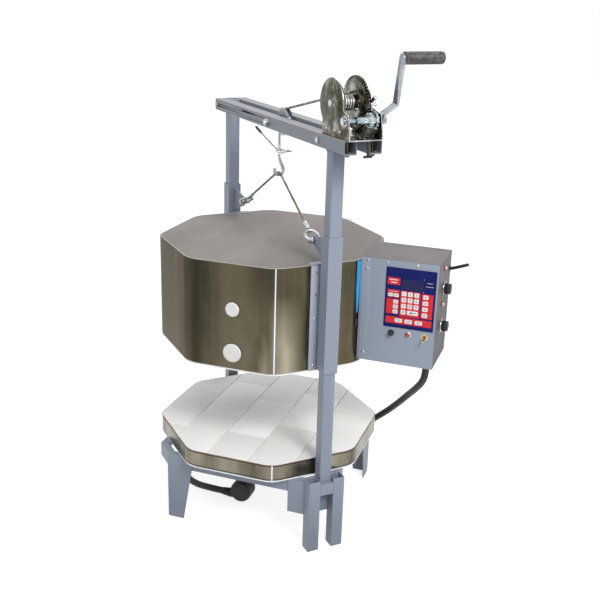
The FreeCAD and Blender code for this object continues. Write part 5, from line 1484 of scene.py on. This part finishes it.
def make_film():
    """A strip of blue protective film left on the jacket's edge, with a dark spring clip below it."""
    along = Vector((DIAGONAL, DIAGONAL, 0))
    out = Vector((DIAGONAL, -DIAGONAL, 0))
    reach = BELL_RADIUS * math.sin(HALF_FLAT)
    flat_end = 2 * reach - BELL_BEND * math.tan(HALF_FLAT)

    def spot(across, height):
        falls_back = max(0.0, across - flat_end) ** 2 / (2 * BELL_BEND)
        edge = out * (BELL_FLAT + 0.1 - falls_back)
        return edge + along * (across - reach) + POINTS_UP * height
    film = Piece()
    left = [(224.5, BELL_TOP - 3), (224.5, 690), (228, 640), (229, 633)]
    right = [(232.5, 633), (234, 650), (236, 690), (236, BELL_TOP - 3)]
    film.plate([spot(*place) for place in left + right], out * 0.45, 0.1, 1)
    film.done("blue_film_strip", "bell", FILM)
    clip = Piece()
    turn = Matrix.Rotation(math.radians(-45), 4, "Z")
    middle = spot(228, 609) + out * 1.2
    clip.slab(middle, Vector((2.8, 5.6, 19)), 0.7, 2, turn)
    clip.rod(middle + out * 0.8 - along * 3.4, middle + out * 0.8 + along * 3.4, 1.6, sides=14)
    clip.done("film_clip", "bell", BLACK)


def fluted(centre, across, up, flutes, wide, narrow):
    """A round outline with shallow flutes, in the plane of two directions."""
    outline = []
    for step in range(flutes * 4):
        angle = math.tau * step / (flutes * 4)
        radius = wide if step % 4 < 2 else narrow
        outline.append(centre + (across * math.cos(angle) + up * math.sin(angle)) * radius)
    return outline


def make_knob(name, up):
    """A fluted knob on its skirt, with a white pointer line."""
    piece = Piece()
    base = Vector((CASE_RIGHT + 0.5, KNOB_SPOT, up))
    piece.lathe([(0, 0), (16.4, 0), (17, 0.6), (16.6, 1.8), (14.4, 3.0), (0, 3.0)], base, TO_RIGHT, 48, 2)
    piece.plate(fluted(base + TO_RIGHT * 2.6, POINTS_UP, TO_BACK, 22, 13.7, 12.9), (15.6, 0, 0), 0.35, 2)
    piece.lathe([(0, 17.2), (9.5, 17.2), (10, 17.8), (9.2, 19.2), (0, 19.2)], base, TO_RIGHT, 32)
    for low, high in (((2.8, -1.3, -14.3), (17.8, 1.3, -12.2)), ((17.6, -1.1, -12.5), (18.8, 1.1, -4.5)),
                      ((0.3, -1.5, -16.9), (2.4, 1.5, -13.8))):
        piece.block(base + Vector(low), base + Vector(high), 0.3, index=1)
    piece.done(name + "_knob_turned", name + "_knob", [BLACK, WHITE, ZINC],
               ("knob_" + name,))


def make_dials():
    """Printed ticks on the case round each knob, every fifth one longer."""
    piece = Piece()
    for name, up in KNOBS:
        for tick in range(11):
            angle = math.radians(-150 + 30 * tick)
            spoke = Vector((0, math.sin(angle), math.cos(angle)))
            middle = Vector((CASE_RIGHT + 0.55, KNOB_SPOT, up)) + spoke * 20.5
            size = Vector((0.24, 1.4, 2.6 if tick % 5 else 4.0))
            piece.slab(middle, size, 0.0, 1, Matrix.Rotation(-angle, 4, "X"))
    piece.done("dial_ticks", "bell", WHITE)


def make_pilots():
    """Two red lamps on the box's side, their domes pale as a painted highlight, and a dark one, in a plated
    ring, under the keypad.
    """
    piece = Piece()
    for up in PILOT_HEIGHTS:
        base = Vector((CASE_RIGHT + 0.5, -47, up))
        piece.lathe([(0, 0), (7, 0), (7.2, 0.8), (6.6, 2.4), (5.2, 3.0), (0, 3.0)], base, TO_RIGHT, 32)
        # The dome is painted pale pink: a painted highlight.
        piece.lathe([(0, 6.2), (2.2, 5.9), (4.0, 4.6), (4.6, 2.6)], base, TO_RIGHT, 28, 1)
        piece.rod(base - TO_RIGHT * 16, base, 5.8, sides=24)
    front = front_spot(65)
    piece.lathe([(5.9, 13), (5.9, 0), (8.2, 0), (8.4, -0.8), (7.4, -1.8), (6.2, -2.2), (5.6, -1.4)],
                front, TO_BACK, 36, 2)
    piece.lathe([(0, -5.4), (2.6, -5.0), (4.8, -3.7), (5.8, -1.6), (5.8, 0)], front, TO_BACK, 32)
    piece.done("pilot_lamps", "bell", [RED_LENS, GLINT_LENS, ZINC], ("pilot_lights",))


def make_fuse_holder():
    """A knurled cap with a slot across it."""
    piece = Piece()
    front = front_spot(21)
    piece.lathe([(5.8, 20), (5.8, 0), (8.2, 0), (8.4, -0.8), (8.0, -2.2), (6.8, -2.6), (0, -2.6)],
                front, TO_BACK, 36)
    piece.plate(fluted(front - TO_BACK * 2.4, TO_RIGHT, POINTS_UP, 12, 6.6, 6.1), (0, -6.6, 0), 0.5, 2)
    piece.block(front + Vector((-4.6, -9.3, -0.7)), front + Vector((4.6, -8.8, 0.7)), 0.1, index=1)
    piece.done("fuse_cap", "bell", [BLACK, RUBBER], ("fuse_holder",))


def make_toggle():
    """A threaded bush with its nut, and a bat lever that leans down."""
    front = front_spot(108)
    bush = Piece()
    bush.lathe([(4.7, 5.4), (4.7, -5.8), (5.0, -6), (5.7, -5.6), (5.9, -5.0), (5.6, -4.6), (5.9, -4.2),
                (5.6, -3.8), (5.9, -3.4), (5.6, -3.0), (5.9, -2.4), (5.9, 12), (4.7, 12)], front, TO_BACK, 32)
    bush.rod(front, front - TO_BACK * 2.4, 8.0, sides=6, bevel=0.5)
    bush.lathe([(5.9, -0.5), (8.8, -0.5), (8.9, -0.1), (5.9, -0.1)], front, TO_BACK, 32)
    bush.done("toggle_collar", "bell", GOLD, ("toggle_bush",))
    lever = Piece()
    pivot = front - TO_BACK
    lean = math.radians(14)
    aim = Vector((0, -math.cos(lean), -math.sin(lean)))
    lever.lathe([(0, -2.6), (2.4, -2), (2.0, 1), (1.9, 5), (2.3, 11), (2.9, 16), (3.1, 18.5), (2.6, 20.4),
                 (1.4, 21.2), (0, 21.4)], pivot, aim, 28)
    lever.rod(pivot - TO_RIGHT * 3.1, pivot + TO_RIGHT * 3.1, 3.2, sides=24, bevel=0.4)
    lever.done("toggle_bat", "toggle", GOLD, ("toggle_lever",))


def make_gland():
    """The cord's grip under the box: a hex collar, and a sleeve that tapers down the cord."""
    piece = Piece()
    top = Vector((CASE_RIGHT - 27, -50, CASE_BOTTOM))
    piece.rod(top - POINTS_UP * 6.5, top, 14.4, sides=6, bevel=0.8)
    profile = [(9.6, 6.5), (13.2, 6.5), (13.0, 9)]
    for ring in range(4):
        low = 9.4 + ring * 3.6
        wide = 12.9 - ring * 0.7
        profile += [(wide, low), (wide, low + 2.0), (wide - 0.9, low + 2.5), (wide - 0.9, low + 3.3)]
    profile += [(10.2, 25), (9.6, 25)]
    piece.lathe(profile, top, (0, 0, -1), 32)
    piece.rod(top + POINTS_UP * 1.6, top + POINTS_UP * 6.4, 14.2, sides=6, bevel=0.8)
    piece.rod(top - POINTS_UP, top + POINTS_UP * 11, 10.3, sides=28, bevel=0.4)
    piece.done("gland_collar", "bell", BLACK, ("cord_gland",))


def make_peg():
    """A black peg on the box's side that a spare loop of cord hangs on; it slopes up."""
    piece = Piece()
    foot = Vector((CASE_RIGHT, 30, CASE_TOP - 46))
    tip = foot + Vector((45.2, 0, 15))
    radius = 4.3
    piece.lathe([(0, 0), (8, 0), (8.2, 0.8), (7.2, 2), (4.8, 2.6), (0, 2.6)], foot, TO_RIGHT, 32)
    piece.bar(smooth_line([foot + TO_RIGHT, foot + Vector((9, 0, 0.8)), tip]), radius, 20)
    bmesh.ops.create_uvsphere(piece.mesh, u_segments=24, v_segments=14, radius=radius,
                              matrix=Matrix.Translation(tip))
    piece.done("sloping_peg", "bell", BLACK, ("cord_peg",))


def make_peep_plug(name, up, radius):
    """A ceramic plug: a long stem in the brick and a dished head with a soft rim."""
    piece = Piece()
    seat = Vector((PEEP_SIDE, -BELL_FLAT, up))
    head = radius + 5.5
    piece.lathe([(0, 63), (radius - 1.2, 63), (radius, 61.5), (radius, 0.2), (radius, -0.3),
                 (head - 0.8, -0.3), (head, -1.2), (head, -3.8), (head - 0.7, -4.9), (head - 2.2, -5.3),
                 (head * 0.6, -5.0), (0, -4.8)], seat, TO_BACK, 56)
    piece.done(name + "_plug_turned", name + "_plug", CERAMIC, (name + "_peep_plug",), 50)


COIL_RADIUS = 3.9
WIRE_RADIUS = 0.65
COIL_PITCH = 6.5
COIL_STEPS = 7


def make_elements():
    """Coiled wire lying in the grooves round the eight hot faces, four rings."""
    aside = COIL_RADIUS + WIRE_RADIUS
    corner = corner_of(BELL_FLAT - 1.5 - BRICK_THICK + GROOVE_DEEP - aside - 0.35)
    corners = [level_way((2 * number + 1) * HALF_FLAT) * corner for number in range(8)]
    piece = Piece()
    for level in range(2):
        for up in GROOVES:
            height = BELL_LOW + level * COURSE + up - GROOVE_HALF + aside + 0.25
            coil = []
            far = 0.0
            for start, end in zip(corners, corners[1:] + corners[:1]):
                run = end - start
                side = run.normalized().cross(POINTS_UP)
                count = int(run.length / COIL_PITCH * COIL_STEPS)
                for step in range(count):
                    angle = math.tau * (far + step) / COIL_STEPS
                    spot = start + run * step / count + POINTS_UP * height
                    coil.append(spot + (side * math.cos(angle) + POINTS_UP * math.sin(angle)) * COIL_RADIUS)
                far += count
            piece.bar(coil, WIRE_RADIUS, 4)
    piece.done("element_coils", "bell", WIRE, ("heating_elements",), 80)


def make_frame_bolts():
    """Carriage bolts through the wings of the brackets."""
    piece = Piece(LIFT)
    dome = [(0, 2.6), (2.4, 2.3), (4.0, 1.3), (4.8, 0.2), (4.8, -0.2)]
    for sign in (1, -1):
        for across, up in ((-30, 176), (30, 176), (30, 152)):
            piece.lathe(dome, Vector((sign * 319.1, across, up)), TO_RIGHT * sign, 24)
    piece.done("frame_bolts", "stand", OLIVE_ZINC)


make_keypad()
make_angle_faces()
make_fasteners()
make_panel_fold()
make_film()
for place in KNOBS:
    make_knob(*place)
make_dials()
make_pilots()
make_fuse_holder()
make_toggle()
make_gland()
make_peg()
for plug in PEEP_PLUGS:
    make_peep_plug(*plug)
make_elements()
make_frame_bolts()


# Stage and light

def seen_or_reflected(tree):
    """One where a ray comes from the camera, a reflection or through glass, and nought elsewhere."""
    path = tree.nodes.new("ShaderNodeLightPath")
    seen = path.outputs["Is Camera Ray"]
    for name in ("Is Glossy Ray", "Is Transmission Ray"):
        either = tree.nodes.new("ShaderNodeMath")
        either.operation = "MAXIMUM"
        tree.links.new(seen, either.inputs[0])
        tree.links.new(path.outputs[name], either.inputs[1])
        seen = either.outputs[0]
    return seen


def choose(tree, seen, plain, shown, kind):
    """Mix two shaders by that share and hand the result to the output node."""
    mix = tree.nodes.new("ShaderNodeMixShader")
    tree.links.new(seen, mix.inputs[0])
    tree.links.new(plain, mix.inputs[1])
    tree.links.new(shown, mix.inputs[2])
    output = tree.nodes.new(kind)
    tree.links.new(mix.outputs[0], output.inputs[0])


def glowing(tree, kind, colour, strength):
    """An emission or background shader."""
    node = tree.nodes.new(kind)
    node.inputs[0].default_value = (*colour, 1)
    node.inputs[1].default_value = strength
    return node.outputs[0]


def matt(tree, grey):
    node = tree.nodes.new("ShaderNodeBsdfDiffuse")
    node.inputs[0].default_value = (grey, grey, grey, 1)
    return node.outputs[0]


def make_ground():
    """A pale floor: white where it is lit and seen, grey where the object shades it."""
    mesh = bpy.data.meshes.new("ground")
    shape = bmesh.new()
    bmesh.ops.create_grid(shape, x_segments=1, y_segments=1, size=14,
                          matrix=Matrix.Translation((0, 0, -DECK_HEIGHT * MM)))
    shape.to_mesh(mesh)
    shape.free()
    thing = put_in_scene("ground", mesh)
    material = bpy.data.materials.new("pale_floor")
    material.use_nodes = True
    tree = material.node_tree
    tree.nodes.clear()
    thrown_back = matt(tree, 0.50)
    lifted = tree.nodes.new("ShaderNodeAddShader")
    tree.links.new(matt(tree, 0.42), lifted.inputs[0])
    tree.links.new(glowing(tree, "ShaderNodeEmission", (1, 1, 1), 0.80), lifted.inputs[1])
    choose(tree, seen_or_reflected(tree), thrown_back, lifted.outputs[0], "ShaderNodeOutputMaterial")
    mesh.materials.append(material)


def make_world():
    """Soft light all round, and plain white where the background is seen or mirrored."""
    world = bpy.data.worlds.new("studio")
    bpy.context.scene.world = world
    world.use_nodes = True
    tree = world.node_tree
    tree.nodes.clear()
    soft = glowing(tree, "ShaderNodeBackground", (0.95, 0.97, 1.0), 0.62)
    white = glowing(tree, "ShaderNodeBackground", (1, 1, 1), 1.0)
    choose(tree, seen_or_reflected(tree), soft, white, "ShaderNodeOutputWorld")


def lamp(name, place, size, power):
    """A round lamp that points at the object's middle."""
    data = bpy.data.lights.new(name, "AREA")
    data.shape = "DISK"
    data.size = size
    data.energy = power
    aim = Vector((0, 0, 0.3)) - Vector(place)
    turn = aim.to_track_quat("-Z", "Y").to_matrix().to_4x4()
    put_in_scene(name, data).matrix_world = Matrix.Translation(place) @ turn


bpy.context.scene.view_settings.view_transform = "Standard"
make_ground()
make_world()
lamp("key", (2.1, -2.1, 2.8), 1.3, 86)
lamp("fill", (-2.4, -2.2, 1.7), 1.8, 10)
lamp("rim", (0.2, 2.4, 2.6), 1.6, 26)

# Solids that already have their final shape: finish and width of the eased edges

DRESSED = {
    PAINT: {"stand_ring": 0, "stand_legs": 0.8, "post_brackets": 0.8, "front_feet": 1.6,
            "rear_feet": 1.6, "front_post": 1.6, "rear_post": 1.6, "bracket_angles": 0.6,
            "front_sleeve": 1.6, "rear_sleeve": 1.6, "lift_lugs": 0.6},
    BEAM_PAINT: {"beam_tube_left": 1.6, "beam_tube_right": 1.6},
    ZINC: {"beam_bolts": 0.4, "sheave_axle": 0.5, "pawl": 0.3},
    PANEL_PAINT: {"control_panel": 0.4},
    CASE_PAINT: {"control_case": 0.8},
    CERAMIC: {"thermocouple": 0},
    BOARD: {"controller_board": 0},
    BLACK: {"relays": 0},
    OLIVE_ZINC: {"drum_gear": 0, "winch_bolts": 0.4},
    TEAL_ZINC: {"pinion_shaft": 0},
    CRANK_STEEL: {"crank_arm": 0.8, "sheave": 0},
}
for finish, nodes in DRESSED.items():
    for node, width in nodes.items():
        dress(node, finish, width)
